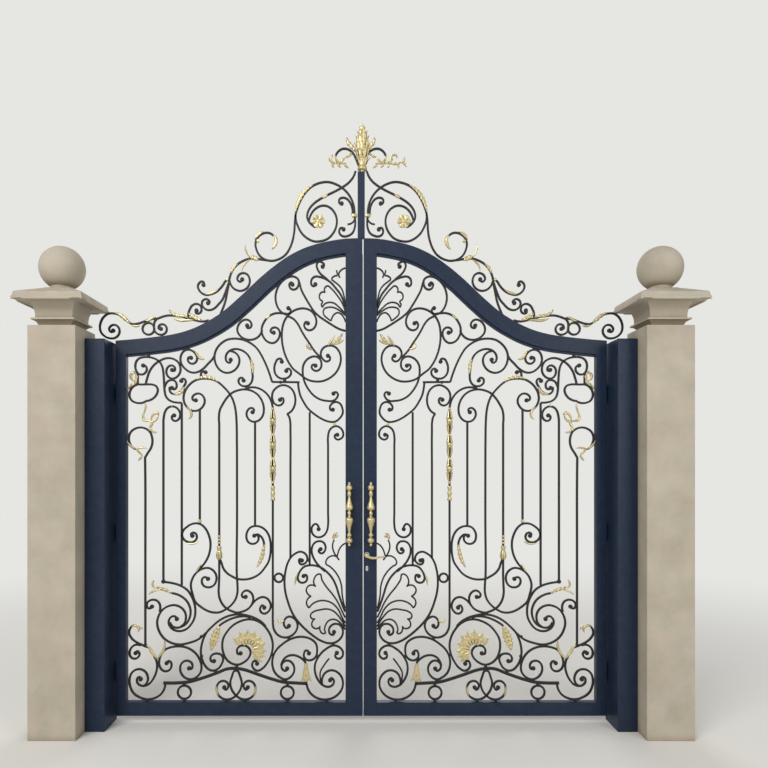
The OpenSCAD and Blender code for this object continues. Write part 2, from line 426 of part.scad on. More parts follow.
module opening() {
    intersection() {
        box_2d(opening_in, opening_out, opening_low, crown_height);
        below(arch_clear);
    }
}
module welds() offset(delta = 0.3) offset(delta = -weld_fill / 2 - 0.3) offset(delta = weld_fill / 2) children();
module zone(z0, z1) {
    offset(delta = 0) intersection() {
        opening();
        box_2d(0, leaf_half_width, z0, z1);
        welds() {
            drawn(lower_bars);
            drawn(middle_bars);
            drawn(upper_bars);
            drawn(leaf_bars);
            drawn_rings(rings);
            drawn_collars(collars);
        }
    }
}

// Placing: a flat drawing stood upright, from y0 back to y1
module stand(y0, y1) translate([0, y1, 0]) rotate([90, 0, 0]) linear_extrude(y1 - y0) children();
module at_gate() translate([gate_x, gate_y, 0]) children();
module left() mirror([1, 0, 0]) children();
zone_low = 1000;
zone_high = 1990;

module lower_scrolls() stand(-bar_thickness / 2, bar_thickness / 2) zone(0, zone_low);
module middle_scrolls() stand(-bar_thickness / 2, bar_thickness / 2) zone(zone_low, zone_high);
module upper_scrolls() stand(-bar_thickness / 2, bar_thickness / 2) zone(zone_high, crown_height);
module overthrow() {
    stand(-bar_thickness / 2, bar_thickness / 2) offset(delta = 0) difference() {
        welds() {
            drawn(over_bars);
            drawn_rings(over_rings);
        }
        below(arch_top);
    }
}
module hinge_stile()
    stand(-half_t, half_t) offset(delta = 0) intersection() {
        box_2d(opening_out, leaf_half_width, ground_gap, crown_height);
        below(arch_under);
    }
module bottom_rail(from)
    translate([from, -half_t, ground_gap]) cube([opening_out - from, leaf_thickness, bottom_rail_height]);
module top_rail(from)
    stand(-half_t, half_t) offset(delta = 0) intersection() {
        box_2d(from, leaf_half_width, 0, crown_height + 100);
        difference() {
            below(arch_top);
            below(arch_under);
        }
    }
module arch_liner()
    stand(-arch_liner_thickness / 2, arch_liner_thickness / 2) offset(delta = 0) intersection() {
        box_2d(opening_in, opening_out, 0, crown_height + 100);
        difference() {
            below(arch_under);
            below(arch_clear);
        }
    }
module meeting_stile(from, to)
    stand(-half_t, half_t) offset(delta = 0) intersection() {
        box_2d(from, to, ground_gap, crown_height);
        below(arch_under);
    }
// Hinges, each a fixed lower barrel with its pin and a moving upper barrel
hinge_heights = [for (i = [0 : 2]) low_hinge_height + i * hinge_spacing];
hinge_leaf = 60;
hinge_leaf_thickness = 8;
module fixed_hinge_half(z) translate([hinge_x, barrel_y, z]) {
    cylinder(r = barrel_radius, h = barrel_length);
    cylinder(r = pin_radius, h = barrel_length * 2 - 6);
    translate([0, half_t - barrel_y, 0])
        cube([hinge_gap / 2 + hinge_leaf, hinge_leaf_thickness, barrel_length]);
}
module moving_hinge_half(z) translate([hinge_x, barrel_y, z + barrel_length + 1]) {
    difference() {
        union() {
            cylinder(r = barrel_radius, h = barrel_length);
            translate([-hinge_gap / 2 - hinge_leaf, half_t - barrel_y, 0])
                cube([hinge_gap / 2 + hinge_leaf, hinge_leaf_thickness, barrel_length]);
        }
        translate([0, 0, -1]) cylinder(r = pin_radius + running, h = barrel_length + 2);
    }
}
// Turned pull: radius, height above its lower end
pull_profile = [
    [0, 0], [6, 1], [9, 7], [8, 15], [6, 20], [14, 24], [20, 28], [22, 31], [22, 47], [20, 50], [13, 54], [8, 58], [8, 63],
    [13, 67], [15, 74], [13, 81], [9, 85], [9, 107], [12, 122], [18, 142], [25, 165], [27, 175], [24, 185], [12, 193],
    [8, 198], [8, 207], [11, 211], [12, 217], [11, 223], [8, 228], [8, 237], [18, 242], [25, 251], [24, 262],
    [18, 282], [12, 302], [9, 317], [7, 324], [7, 328], [11, 333], [13, 347], [11, 362], [7, 367], [14, 373],
    [20, 380], [20, 398], [14, 405], [7, 410], [8, 417], [5, 425], [0, 427]];
pull_post_radius = 7;
module pull(x) translate([x, -half_t, pull_low]) {
    for (z = [39, 389])
        translate([0, 0, z * pull_length / 427]) rotate([90, 0, 0]) rotate_extrude() polygon([
            [0, 0], [16, 0], [15, 5], [11, 9], [pull_post_radius, 11], [pull_post_radius, pull_reach], [0, pull_reach]]);
    translate([0, -pull_reach, 0])
        rotate_extrude() polygon([for (p = pull_profile) [p[0], p[1] * pull_length / 427]]);
}

// Gilded leaves on the bars: width, 1 where the edges are scalloped, points of the middle line
gilt_leaves = [
    [56, 1, [[951,642],[968,600],[985,550],[1000,505],[1005,480]]],
    [22, 0, [[1444,514],[1412,497],[1370,495],[1330,520]]],
    [18, 0, [[1346,504],[1372,474],[1400,446]]],
    [30, 0, [[371,394],[369,365],[368,330]]],
    [46, 1, [[368,338],[368,305],[369,268]]],
    [16, 0, [[712,250],[708,225],[713,195],[727,172]]],
    [16, 0, [[965,250],[969,225],[964,195],[950,172]]],
    [14, 0, [[512,690],[530,672],[552,672],[562,690]]],
    [14, 0, [[424,1000],[436,965],[444,915]]],
    [28, 1, [[646,1196],[654,1160],[662,1118],[680,1070],[700,1035]]],
    [26, 1, [[955,2272],[985,2296],[1030,2308],[1075,2306],[1105,2292]]],
    [18, 0, [[1178,2112],[1152,2098],[1138,2072],[1140,2045],[1160,2028]]],
    [26, 1, [[1190,2252],[1193,2228],[1208,2208],[1235,2197],[1262,2198]]],
    [10, 0, [[1358,2068],[1380,2064],[1400,2045],[1407,2022],[1395,2008],[1375,2018],[1360,2040],[1356,2062]]],
    [13, 0, [[1400,2015],[1402,1990],[1418,1967],[1405,1945],[1372,1938]]],
    [11, 0, [[1404,2026],[1432,2020],[1452,2030],[1459,2052],[1450,2075]]],
    [13, 0, [[1572,1885],[1559,1868],[1530,1840],[1495,1832],[1480,1808],[1471,1785],[1480,1757],[1502,1748]]],
    [11, 0, [[1497,1832],[1525,1832],[1530,1845]]],
    [24, 1, [[1527,2352],[1508,2330],[1504,2300],[1516,2270],[1542,2252],[1566,2222]]],
    [20, 0, [[1512,2340],[1535,2335],[1538,2300],[1520,2285]]],
    [24, 1, [[742,2440],[731,2400],[727,2360],[726,2325]]],
    [18, 0, [[318,2495],[340,2500],[362,2520],[352,2540]]],
    [24, 1, [[205,2525],[170,2545],[140,2580],[125,2605]]],
    [18, 0, [[226,2514],[212,2534],[195,2560],[175,2590]]],
    [16, 0, [[180,2530],[140,2545],[118,2560]]],
    [18, 0, [[608,2714],[625,2702],[642,2686]]],
    [20, 0, [[1046,2432],[1078,2436],[1098,2462],[1114,2492]]]];
// Gilded discs on the bars: u, height, radius
gilt_discs = [[1081, 1347, 11], [1265, 2122, 9], [178, 1994, 10]];
// Gilded leaves above the arch, as the list before
crest_gilding = [
    [24, 0, [[222,3532],[242,3522],[262,3508]]],
    [32, 1, [[318,3597],[350,3578],[385,3545],[412,3500],[430,3455],[440,3410]]],
    [24, 0, [[590,3264],[571,3235],[575,3200],[600,3166]]],
    [24, 0, [[655,3284],[690,3262],[712,3232]]],
    [36, 1, [[686,3092],[718,3108],[750,3118]]],
    [12, 0, [[740,3110],[762,3135],[775,3170],[776,3202]]],
    [14, 0, [[742,3098],[775,3075],[792,3050],[796,3020]]],
    [24, 1, [[822,3072],[848,3050],[866,3022],[872,3000]]],
    [20, 0, [[955,2900],[985,2880],[1020,2868],[1050,2866]]],
    [30, 1, [[1062,2690],[1100,2700],[1135,2722],[1160,2742]]],
    [26, 1, [[1150,2705],[1190,2718],[1230,2722],[1262,2735],[1288,2766]]],
    [20, 0, [[1110,2690],[1160,2692],[1210,2690],[1258,2702]]],
    [20, 0, [[1372,2712],[1400,2705],[1425,2690],[1452,2688]]],
    [16, 0, [[1480,2655],[1510,2652],[1540,2660]]],
    [28, 1, [[1545,2665],[1575,2695],[1612,2725],[1652,2742]]]];
crest_discs = [[690, 3222, 10], [897, 2964, 10]];
clip_in = 32;
clip_out = 60;
clip_z = 3382;

function leaf_half(t, w, lobed, n) = w / 2 * pow(sin(180 * min(max(t, 0.03), 0.97)), 0.6)
    * (1 - lobed * scallop * abs(cos(180 * t * n)));
module gilt_leaf(w, lobed, p) {
    q = smooth(p, lobed == 1 ? 8 : 14);
    m = len(q) - 1;
    n = max(1, round(m * 8 / scallop_pitch));
    h = [for (i = [0 : m]) leaf_half(i / m, w, lobed, n)];
    for (k = [0 : 5 : m - 1]) {
        e = min(k + 5, m);
        polygon(concat([for (i = [k : e]) side_of(q, i, h[i])], [for (i = [e : -1 : k]) side_of(q, i, -h[i])]));
    }
}
module gilt(leaves, discs) {
    for (l = leaves) gilt_leaf(l[0], l[1], [for (q = l[2]) placed(q)]);
    for (d = discs) translate(placed([d[0], d[1]])) circle(d[2], $fn = 14);
}
// Sunflower round the eye of the big lower scroll: petal tips outside, the scroll inside
flower_centre = [760, 490];
flower_inner = [[838,528],[820,518],[792,521],[757,510],[738,480],[735,445],[740,420],[720,410],[700,405]];
petal_count = 9;
flower_from = 18;
flower_to = 238;
petal_root = 108;
petal_tip = 140;
function petal(a) = let (t = (a - flower_from) / (flower_to - flower_from) * petal_count)
    petal_root + (petal_tip - petal_root) * pow(abs(sin(180 * t)), 0.7);
module sunflower() {
    step = (flower_to - flower_from) / petal_count / 6;
    outer = [for (a = [flower_from : step : flower_to]) placed(flower_centre + petal(a) * [cos(a), sin(a)])];
    inner = smooth([for (q = flower_inner) placed(q)], 14);
    polygon(concat(outer, [for (i = [len(inner) - 1 : -1 : 0]) inner[i]]));
}
module rosette(c, r, n) translate(placed(c))
    polygon([for (a = [0 : 7.5 : 352.5]) r * (0.66 + 0.34 * pow(abs(sin(n * a / 2)), 0.7)) * [cos(a), sin(a)]]);
module tidy_edges() offset(delta = -0.4) offset(delta = 0.8) offset(delta = -0.4) children();
module leaf_bars_2d() intersection() {
    opening();
    welds() {
        drawn(lower_bars);
        drawn(middle_bars);
        drawn(upper_bars);
        drawn(leaf_bars);
        drawn_rings(rings);
        drawn_collars(collars);
    }
}
module over_bars_2d() welds() {
    drawn(over_bars);
    drawn_rings(over_rings);
}
// A gilded piece wraps the bars it stands on: its outline, front to back, less the bars
leaf_half_thickness = bar_thickness / 2 + leaf_relief;
module wrapped() difference() {
    stand(-leaf_half_thickness, leaf_half_thickness) offset(delta = 0) children(0);
    stand(-bar_thickness / 2 - seating, bar_thickness / 2 + seating) offset(delta = 0) intersection() {
        offset(delta = 1) children(0);
        offset(delta = seating) children(1);
    }
}
module leaf_gilding() intersection() {
    offset(delta = -seating) opening();
    tidy_edges() gilt(gilt_leaves, gilt_discs);
}
module flower_gilding() tidy_edges() sunflower();
module crest_gilding_2d() difference() {
    tidy_edges() {
        gilt(crest_gilding, crest_discs);
        rosette([287, 3353], 46, 6);
        translate(placed([clip_in, clip_z - 10])) square([clip_out - clip_in, 20]);
    }
    offset(delta = seating) below(arch_top);
}
// Husks threaded on an upright bar: radius as part of the largest, height about the cross line
husk_profile = [
    [0, 46], [0.5, 46], [0.62, 40], [0.8, 22], [1, 6], [1, 0], [0.72, -2], [0.72, -6], [0.86, -9], [0.68, -22],
    [0.56, -44], [0.64, -58], [0.98, -92], [0.9, -95], [0.5, -78], [0, -78]];
tail_profile = [
    [0, 100], [0.5, 100], [0.66, 92], [0.54, 74], [0.54, 60], [0.7, 52], [0.5, 30], [0.5, 0], [0, 0]];
cup_profile = [
    [0, 90], [0.6, 90], [0.72, 76], [0.6, 62], [0.78, 50], [1, 28], [0.92, 10], [0.62, 0], [0, 0]];
module threaded(u, z) translate(concat(placed([u, z])[0], 0, placed([u, z])[1])) difference() {
    children();
    translate([-bar_width / 2 - seating, -bar_thickness / 2 - seating, -beyond])
        cube([bar_width + 2 * seating, bar_thickness + 2 * seating, 2 * beyond]);
}
module turned(profile) rotate_extrude() polygon([for (p = profile) [p[0] * husk_radius, p[1]]]);
module bead() rotate_extrude() intersection() {
    circle(bead_radius, $fn = 32);
    translate([0, -beyond]) square([beyond, 2 * beyond]);
}
chain_u = 592;
chain_top = 2035;
cup_u = 951;
module husks() {
    threaded(chain_u, chain_top + 64) bead();
    for (i = [0 : 2]) {
        threaded(chain_u, chain_top - i * husk_pitch) turned(husk_profile);
        threaded(chain_u, chain_top - i * husk_pitch - 110) bead();
    }
    threaded(chain_u, chain_top - 2 * husk_pitch - 232) turned(tail_profile);
    threaded(cup_u, 1097) turned(cup_profile);
    for (z = [1200, 1222, 1244]) threaded(cup_u, z) bead();
}

// Nodes
module pier_shaft(s) translate([s * pier_mid, pier_width / 2 - pier_forward, 0])
    translate([-pier_width / 2, -pier_width / 2, 0]) cube([pier_width, pier_width, shaft_height]);
half_pier = pier_width / 2;
neck_height = 57;
fascia_z = neck_height + bell_height;
top_rise = 55;
seat_z = fascia_z + fascia_height + top_rise;
seat_height = 20;
// Half the cap: distance from its middle, height above the shaft
cap_profile = concat(
    [[0, 0], [half_pier - neck_inset, 0], [half_pier - neck_inset, 9], [half_pier - neck_inset + 7, 24],
        [half_pier - 26, 35], [half_pier - 12, 39], [half_pier - 12, 50], [half_pier - 32, 52]],
    [for (a = [0 : 15 : 90]) [half_pier - 32 + 37 * (1 - cos(a)), neck_height + bell_height * sin(a)]],
    [[half_pier + cap_projection - 14, fascia_z], [half_pier + cap_projection - 12, fascia_z - 6],
        [half_pier + cap_projection, fascia_z - 6], [half_pier + cap_projection, fascia_z + 13],
        [half_pier + cap_projection - 5, fascia_z + 16], [half_pier + cap_projection - 9, fascia_z + fascia_height - 6],
        [half_pier + cap_projection - 15, fascia_z + fascia_height],
        [seat_radius + 8, seat_z - 3], [seat_radius + 8, seat_z], [0, seat_z]]);
module cap_slab() rotate([90, 0, 0]) linear_extrude(pier_width * 2, center = true)
    polygon(concat(cap_profile, [for (i = [len(cap_profile) - 2 : -1 : 1]) [-cap_profile[i][0], cap_profile[i][1]]]));
module pier_cap(s) translate([s * pier_mid, pier_width / 2 - pier_forward, shaft_height]) {
    intersection() {
        cap_slab();
        rotate([0, 0, 90]) cap_slab();
    }
    translate([0, 0, seat_z - 1]) cylinder(r = seat_radius, h = seat_height + 1);
}
ball_drop = sqrt(ball_radius * ball_radius - seat_radius * seat_radius) - 0.5;
module pier_ball(s) translate([s * pier_mid, pier_width / 2 - pier_forward,
        shaft_height + seat_z + seat_height + ball_drop + seating])
    rotate_extrude() intersection() {
        circle(ball_radius, $fn = 64);
        translate([0, -ball_drop]) square([ball_radius + 1, ball_radius * 2]);
    }
module steel_post() translate([post_inner, half_t - post_depth, 0]) cube([post_width, post_depth, post_height]);

module left_pier_shaft() color([0.72, 0.68, 0.6]) at_gate() pier_shaft(-1);
module right_pier_shaft() color([0.72, 0.68, 0.6]) at_gate() pier_shaft(1);
module left_pier_cap() color([0.76, 0.72, 0.64]) at_gate() pier_cap(-1);
module right_pier_cap() color([0.76, 0.72, 0.64]) at_gate() pier_cap(1);
module left_pier_ball() color([0.76, 0.72, 0.64]) at_gate() pier_ball(-1);
module right_pier_ball() color([0.76, 0.72, 0.64]) at_gate() pier_ball(1);
module left_post() color([0.2, 0.24, 0.3]) at_gate() left() steel_post();
module right_post() color([0.2, 0.24, 0.3]) at_gate() steel_post();
module left_post_hinges() color([0.2, 0.24, 0.3]) at_gate() left() for (z = hinge_heights) fixed_hinge_half(z);
module right_post_hinges() color([0.2, 0.24, 0.3]) at_gate() for (z = hinge_heights) fixed_hinge_half(z);

module left_hinge_stile() color([0.2, 0.24, 0.3]) at_gate() left() hinge_stile();
module left_meeting_stile() color([0.2, 0.24, 0.3]) at_gate() left() meeting_stile(-meet_left, opening_in);
module left_bottom_rail() color([0.2, 0.24, 0.3]) at_gate() left() bottom_rail(opening_in);
module left_top_rail() color([0.2, 0.24, 0.3]) at_gate() left() top_rail(-meet_left);
module left_arch_liner() color([0.2, 0.24, 0.3]) at_gate() left() arch_liner();
module left_leaf_hinges() color([0.2, 0.24, 0.3]) at_gate() left() for (z = hinge_heights) moving_hinge_half(z);
module left_lower_scrolls() color([0.12, 0.12, 0.13]) at_gate() left() lower_scrolls();
module left_middle_bars() color([0.12, 0.12, 0.13]) at_gate() left() middle_scrolls();
module left_upper_scrolls() color([0.12, 0.12, 0.13]) at_gate() left() upper_scrolls();
module left_overthrow() color([0.12, 0.12, 0.13]) at_gate() left() overthrow();
module left_husks() color([0.8, 0.72, 0.45]) at_gate() left() husks();
module left_flower() color([0.8, 0.72, 0.45]) at_gate() left() wrapped() {
    flower_gilding();
    leaf_bars_2d();
}
module left_leaves() color([0.8, 0.72, 0.45]) at_gate() left() wrapped() {
    leaf_gilding();
    leaf_bars_2d();
}
module left_crest_leaves() color([0.8, 0.72, 0.45]) at_gate() left() wrapped() {
    crest_gilding_2d();
    over_bars_2d();
}
module left_pull() color([0.8, 0.72, 0.45]) at_gate() pull(-pull_left);

module right_hinge_stile() color([0.2, 0.24, 0.3]) at_gate() hinge_stile();
module right_meeting_stile() color([0.2, 0.24, 0.3]) at_gate() meeting_stile(meet_right, opening_in);
module right_bottom_rail() color([0.2, 0.24, 0.3]) at_gate() bottom_rail(opening_in);
module right_top_rail() color([0.2, 0.24, 0.3]) at_gate() top_rail(meet_right);
module right_arch_liner() color([0.2, 0.24, 0.3]) at_gate() arch_liner();
module right_leaf_hinges() color([0.2, 0.24, 0.3]) at_gate() for (z = hinge_heights) moving_hinge_half(z);
module right_lower_scrolls() color([0.12, 0.12, 0.13]) at_gate() lower_scrolls();
module right_middle_bars() color([0.12, 0.12, 0.13]) at_gate() middle_scrolls();
module right_upper_scrolls() color([0.12, 0.12, 0.13]) at_gate() upper_scrolls();
module right_overthrow() color([0.12, 0.12, 0.13]) at_gate() overthrow();
module right_husks() color([0.8, 0.72, 0.45]) at_gate() husks();
module right_flower() color([0.8, 0.72, 0.45]) at_gate() wrapped() {
    flower_gilding();
    leaf_bars_2d();
}
module right_leaves() color([0.8, 0.72, 0.45]) at_gate() wrapped() {
    leaf_gilding();
    leaf_bars_2d();
}
module right_crest_leaves() color([0.8, 0.72, 0.45]) at_gate() wrapped() {
    crest_gilding_2d();
    over_bars_2d();
}
module right_pull() color([0.8, 0.72, 0.45]) at_gate() pull(pull_right);

module centre_bar() color([0.2, 0.24, 0.3]) at_gate() {
    translate([-centre_bar_width / 2, -centre_bar_depth / 2, crown_height + 0.6])
        cube([centre_bar_width / 2 + meet_left, centre_bar_depth, centre_bar_height - 0.6]);
    translate([-centre_bar_width / 2, -centre_bar_depth / 2, crown_height + leaf_clearance])
        cube([centre_bar_width, centre_bar_depth, centre_bar_height - leaf_clearance]);
}
// Finial: a turned foot, a leafy cup and a feathered plume, thinner front to back
finial_low = crown_height + centre_bar_height;
cup_height = 92;
plume_half = [[0, 0], [26, 6], [40, 32], [35, 44], [47, 80], [42, 94], [49, 128], [43, 143], [44, 174], [36, 187], [33, 210],
    [22, 222], [13, 237], [0, 244]];
module plume_2d() polygon(concat([for (p = plume_half) [p[0], p[1] * (finial_height - 86) / 244]],
    [for (i = [len(plume_half) - 2 : -1 : 1]) [-plume_half[i][0], plume_half[i][1] * (finial_height - 86) / 244]]));
foot_profile = [[0, 0], [15, 0], [15, 12], [30, 16], [33, 22], [32, 32], [27, 44], [25, 60], [29, 78],
    [34, cup_height], [30, cup_height + 6], [0, cup_height]];
module finial_2d() translate([finial_x, finial_low]) {
    polygon(foot_profile);
    mirror([1, 0]) polygon(foot_profile);
    translate([0, cup_height - 6]) plume_2d();
}
module finial_body() translate([finial_x, 0, finial_low]) {
    rotate_extrude() polygon(foot_profile);
    intersection() {
        translate([0, 0, cup_height - 6]) stand(-beyond, beyond) plume_2d();
        translate([0, 0, cup_height - 6]) rotate([0, 0, 90]) scale([0.62, 1, 1]) stand(-beyond, beyond) plume_2d();
    }
}
// Hooked bars and their leaves on both sides of the finial; x is counted from the centre line
hook_stroke = [[8, 3736], [19, 3758], [30, 3786], [42, 3812], [62, 3836], [96, 3852], [124, 3850], [150, 3832], [165, 3806]];
hook_leaves = [
    [16, 0, [[165, 3812], [164, 3786], [150, 3764], [122, 3754], [94, 3756]]],
    [16, 0, [[214, 3794], [202, 3772], [184, 3758], [160, 3756], [140, 3758]]],
    [14, 0, [[56, 3832], [66, 3812], [84, 3800], [104, 3796]]],
    [14, 0, [[110, 3758], [98, 3738], [78, 3722]]],
    [26, 1, [[26, 3830], [58, 3872], [84, 3898], [92, 3930]]]];
hook_lift = finial_low - 3692;
function lifted(p) = [for (q = p) [q[0], q[1] + hook_lift]];
module crest_hooks_2d(dx) translate([dx, 0]) bar(bar_width, lifted(hook_stroke));
module hook_leaves_2d(dx) translate([dx, 0]) for (l = hook_leaves) gilt_leaf(l[0], l[1], lifted(l[2]));
module crest_hooks() color([0.12, 0.12, 0.13]) at_gate()
    stand(-bar_thickness / 2, bar_thickness / 2) offset(delta = 0) difference() {
        tidy_edges() {
            crest_hooks_2d(0);
            mirror([1, 0]) crest_hooks_2d(0.75 * finial_x);
        }
        offset(delta = seating - 3) offset(delta = 3) finial_2d();
    }
module hook_leaves() wrapped() {
    tidy_edges() {
        hook_leaves_2d(0);
        mirror([1, 0]) hook_leaves_2d(0.75 * finial_x);
    }
    tidy_edges() {
        crest_hooks_2d(0);
        mirror([1, 0]) crest_hooks_2d(0.75 * finial_x);
    }
}
module finial() color([0.8, 0.72, 0.45]) at_gate() {
    finial_body();
    hook_leaves();
}
module lock_plate() color([0.2, 0.24, 0.3]) at_gate() difference() {
    union() {
        translate([lever_x, -half_t, lever_z]) rotate([90, 0, 0]) cylinder(r = 18, h = 4);
        translate([lever_x, -half_t, lever_z - key_drop]) rotate([90, 0, 0]) scale([1, 2, 1]) cylinder(r = 8.5, h = 3);
    }
    translate([lever_x, -half_t + 1, lever_z]) rotate([90, 0, 0]) cylinder(r = 6, h = 10);
    translate([lever_x - 1.5, -half_t - 5, lever_z - key_drop - 10]) cube([3, 6, 14]);
    translate([lever_x, -half_t + 1, lever_z - key_drop + 5]) rotate([90, 0, 0]) cylinder(r = 3.5, h = 6);
}
// Lever: spindle, boss and an arm that dips and rises again
arm_line = [[0, 0], [22, -13], [52, -16], [86, -9], [122, -7]];
function arm_half(t) = 10 - 3.5 * t;
module lever_arm() {
    q = smooth([for (p = arm_line) [lever_x + p[0] * lever_length / 122, lever_z + p[1]]], 8);
    m = len(q) - 1;
    polygon(concat([for (i = [0 : m]) side_of(q, i, arm_half(i / m))],
        [for (i = [m : -1 : 0]) side_of(q, i, -arm_half(i / m))]));
    translate(q[m]) circle(arm_half(1), $fn = 20);
}
module lever() color([0.8, 0.72, 0.45]) at_gate() {
    translate([lever_x, -half_t, lever_z]) rotate([90, 0, 0]) cylinder(r = 5.9, h = 40);
    translate([lever_x, -half_t - 4.6, lever_z]) rotate([90, 0, 0]) cylinder(r1 = 15, r2 = 13, h = 42);
    stand(-half_t - 45, -half_t - 31) offset(delta = 0) lever_arm();
}

left_pier_shaft();
right_pier_shaft();
left_pier_cap();
right_pier_cap();
left_pier_ball();
right_pier_ball();
left_post();
right_post();
left_post_hinges();
right_post_hinges();
left_hinge_stile();
left_meeting_stile();
left_bottom_rail();
left_top_rail();
left_arch_liner();
left_leaf_hinges();
left_lower_scrolls();
left_middle_bars();
left_upper_scrolls();
left_overthrow();
left_husks();
left_flower();
left_leaves();
left_crest_leaves();
left_pull();
right_hinge_stile();
right_meeting_stile();
right_bottom_rail();
right_top_rail();
right_arch_liner();
right_leaf_hinges();
right_lower_scrolls();
right_middle_bars();
right_upper_scrolls();
right_overthrow();
right_husks();
right_flower();
right_leaves();
right_crest_leaves();
right_pull();
centre_bar();
finial();
crest_hooks();
lock_plate();
lever();
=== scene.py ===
"""Double-leaf driveway gate of forged scrolls and gilded leaves, hung between stone piers.

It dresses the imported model: forged bars swept from the scroll drawing, bevelled frame and
posts, gilded leaves, husks, sunflowers and finial, turned pulls, and dressed limestone piers.
"""

import json
import math

import bmesh
import bpy
import numpy as np
from mathutils import Matrix, Vector

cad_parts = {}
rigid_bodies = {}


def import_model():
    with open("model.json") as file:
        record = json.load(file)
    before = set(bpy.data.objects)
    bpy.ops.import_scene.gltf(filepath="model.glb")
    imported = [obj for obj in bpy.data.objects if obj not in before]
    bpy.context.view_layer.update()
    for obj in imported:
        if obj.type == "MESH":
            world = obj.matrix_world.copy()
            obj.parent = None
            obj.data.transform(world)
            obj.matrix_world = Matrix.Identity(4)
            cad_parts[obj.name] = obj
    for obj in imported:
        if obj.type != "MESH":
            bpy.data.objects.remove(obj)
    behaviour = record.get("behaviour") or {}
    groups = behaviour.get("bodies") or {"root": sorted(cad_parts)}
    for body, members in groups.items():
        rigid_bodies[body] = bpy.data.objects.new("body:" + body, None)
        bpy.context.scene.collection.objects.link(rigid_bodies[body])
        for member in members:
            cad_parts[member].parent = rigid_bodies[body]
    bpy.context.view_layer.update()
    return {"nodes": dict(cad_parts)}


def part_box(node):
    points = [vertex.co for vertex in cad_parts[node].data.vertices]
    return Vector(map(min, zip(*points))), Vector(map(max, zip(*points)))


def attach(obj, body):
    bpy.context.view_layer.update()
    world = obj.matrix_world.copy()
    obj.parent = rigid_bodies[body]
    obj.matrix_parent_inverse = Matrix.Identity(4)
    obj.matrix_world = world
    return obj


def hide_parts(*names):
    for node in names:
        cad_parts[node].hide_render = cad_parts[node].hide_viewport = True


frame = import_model()

bl_info = {
    "name": "Scrollwork Driveway Gate",
    "version": (1, 0, 0),
    "blender": (4, 5, 0),
    "location": "View3D > Sidebar > Gate",
    "description": "Models the ironwork, gilding, frame, piers and stage of a driveway gate",
    "category": "Object",
}

MM = 0.001
SIDES = ("left", "right")


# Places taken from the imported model
def lowest(node):
    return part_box(node)[0]


def highest(node):
    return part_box(node)[1]


GATE_X = (lowest("left_post").x + highest("right_post").x) / 2
LEAF_Y = (lowest("left_hinge_stile").y + highest("left_hinge_stile").y) / 2
LEAF_FRONT = lowest("left_hinge_stile").y
OPENING_IN = highest("right_meeting_stile").x - GATE_X
OPENING_OUT = lowest("right_hinge_stile").x - GATE_X
OPENING_LOW = highest("right_bottom_rail").z
CROWN = highest("left_top_rail").z
BAR_HALF = (highest("left_lower_scrolls").y - lowest("left_lower_scrolls").y) / 2

# The drawing of the ironwork is in millimetres in the plane of the frame's front face, seen
# from eye height; drawn() moves a point of it to the leaf, as metres from the gate's middle.
DRAWN_EYE = 1750.0
DRAWN_SCALE = 1.0058  # from the plane of the frame's face to the leaf's middle plane
DRAWN_IN, DRAWN_OUT, DRAWN_LOW, DRAWN_CROWN = 105.0, 1577.0, 130.0, 3242.0  # edges of the opening


def drawn(point):
    across = (point[0] * DRAWN_SCALE - DRAWN_IN) / (DRAWN_OUT - DRAWN_IN)
    up = (DRAWN_EYE + (point[1] - DRAWN_EYE) * DRAWN_SCALE - DRAWN_LOW) / (DRAWN_CROWN - DRAWN_LOW)
    return Vector((OPENING_IN + across * (OPENING_OUT - OPENING_IN),
                   OPENING_LOW + up * (CROWN - OPENING_LOW)))


# The hooks and sprays beside the finial are in real millimetres from the gate's middle instead,
# and mirrored about the middle of the centre bar.
CREST_MIDDLE = -3


def at_crest(point):
    return Vector(point) * MM


def across_crest(points):
    return [(2 * CREST_MIDDLE - u, z) for u, z in points]


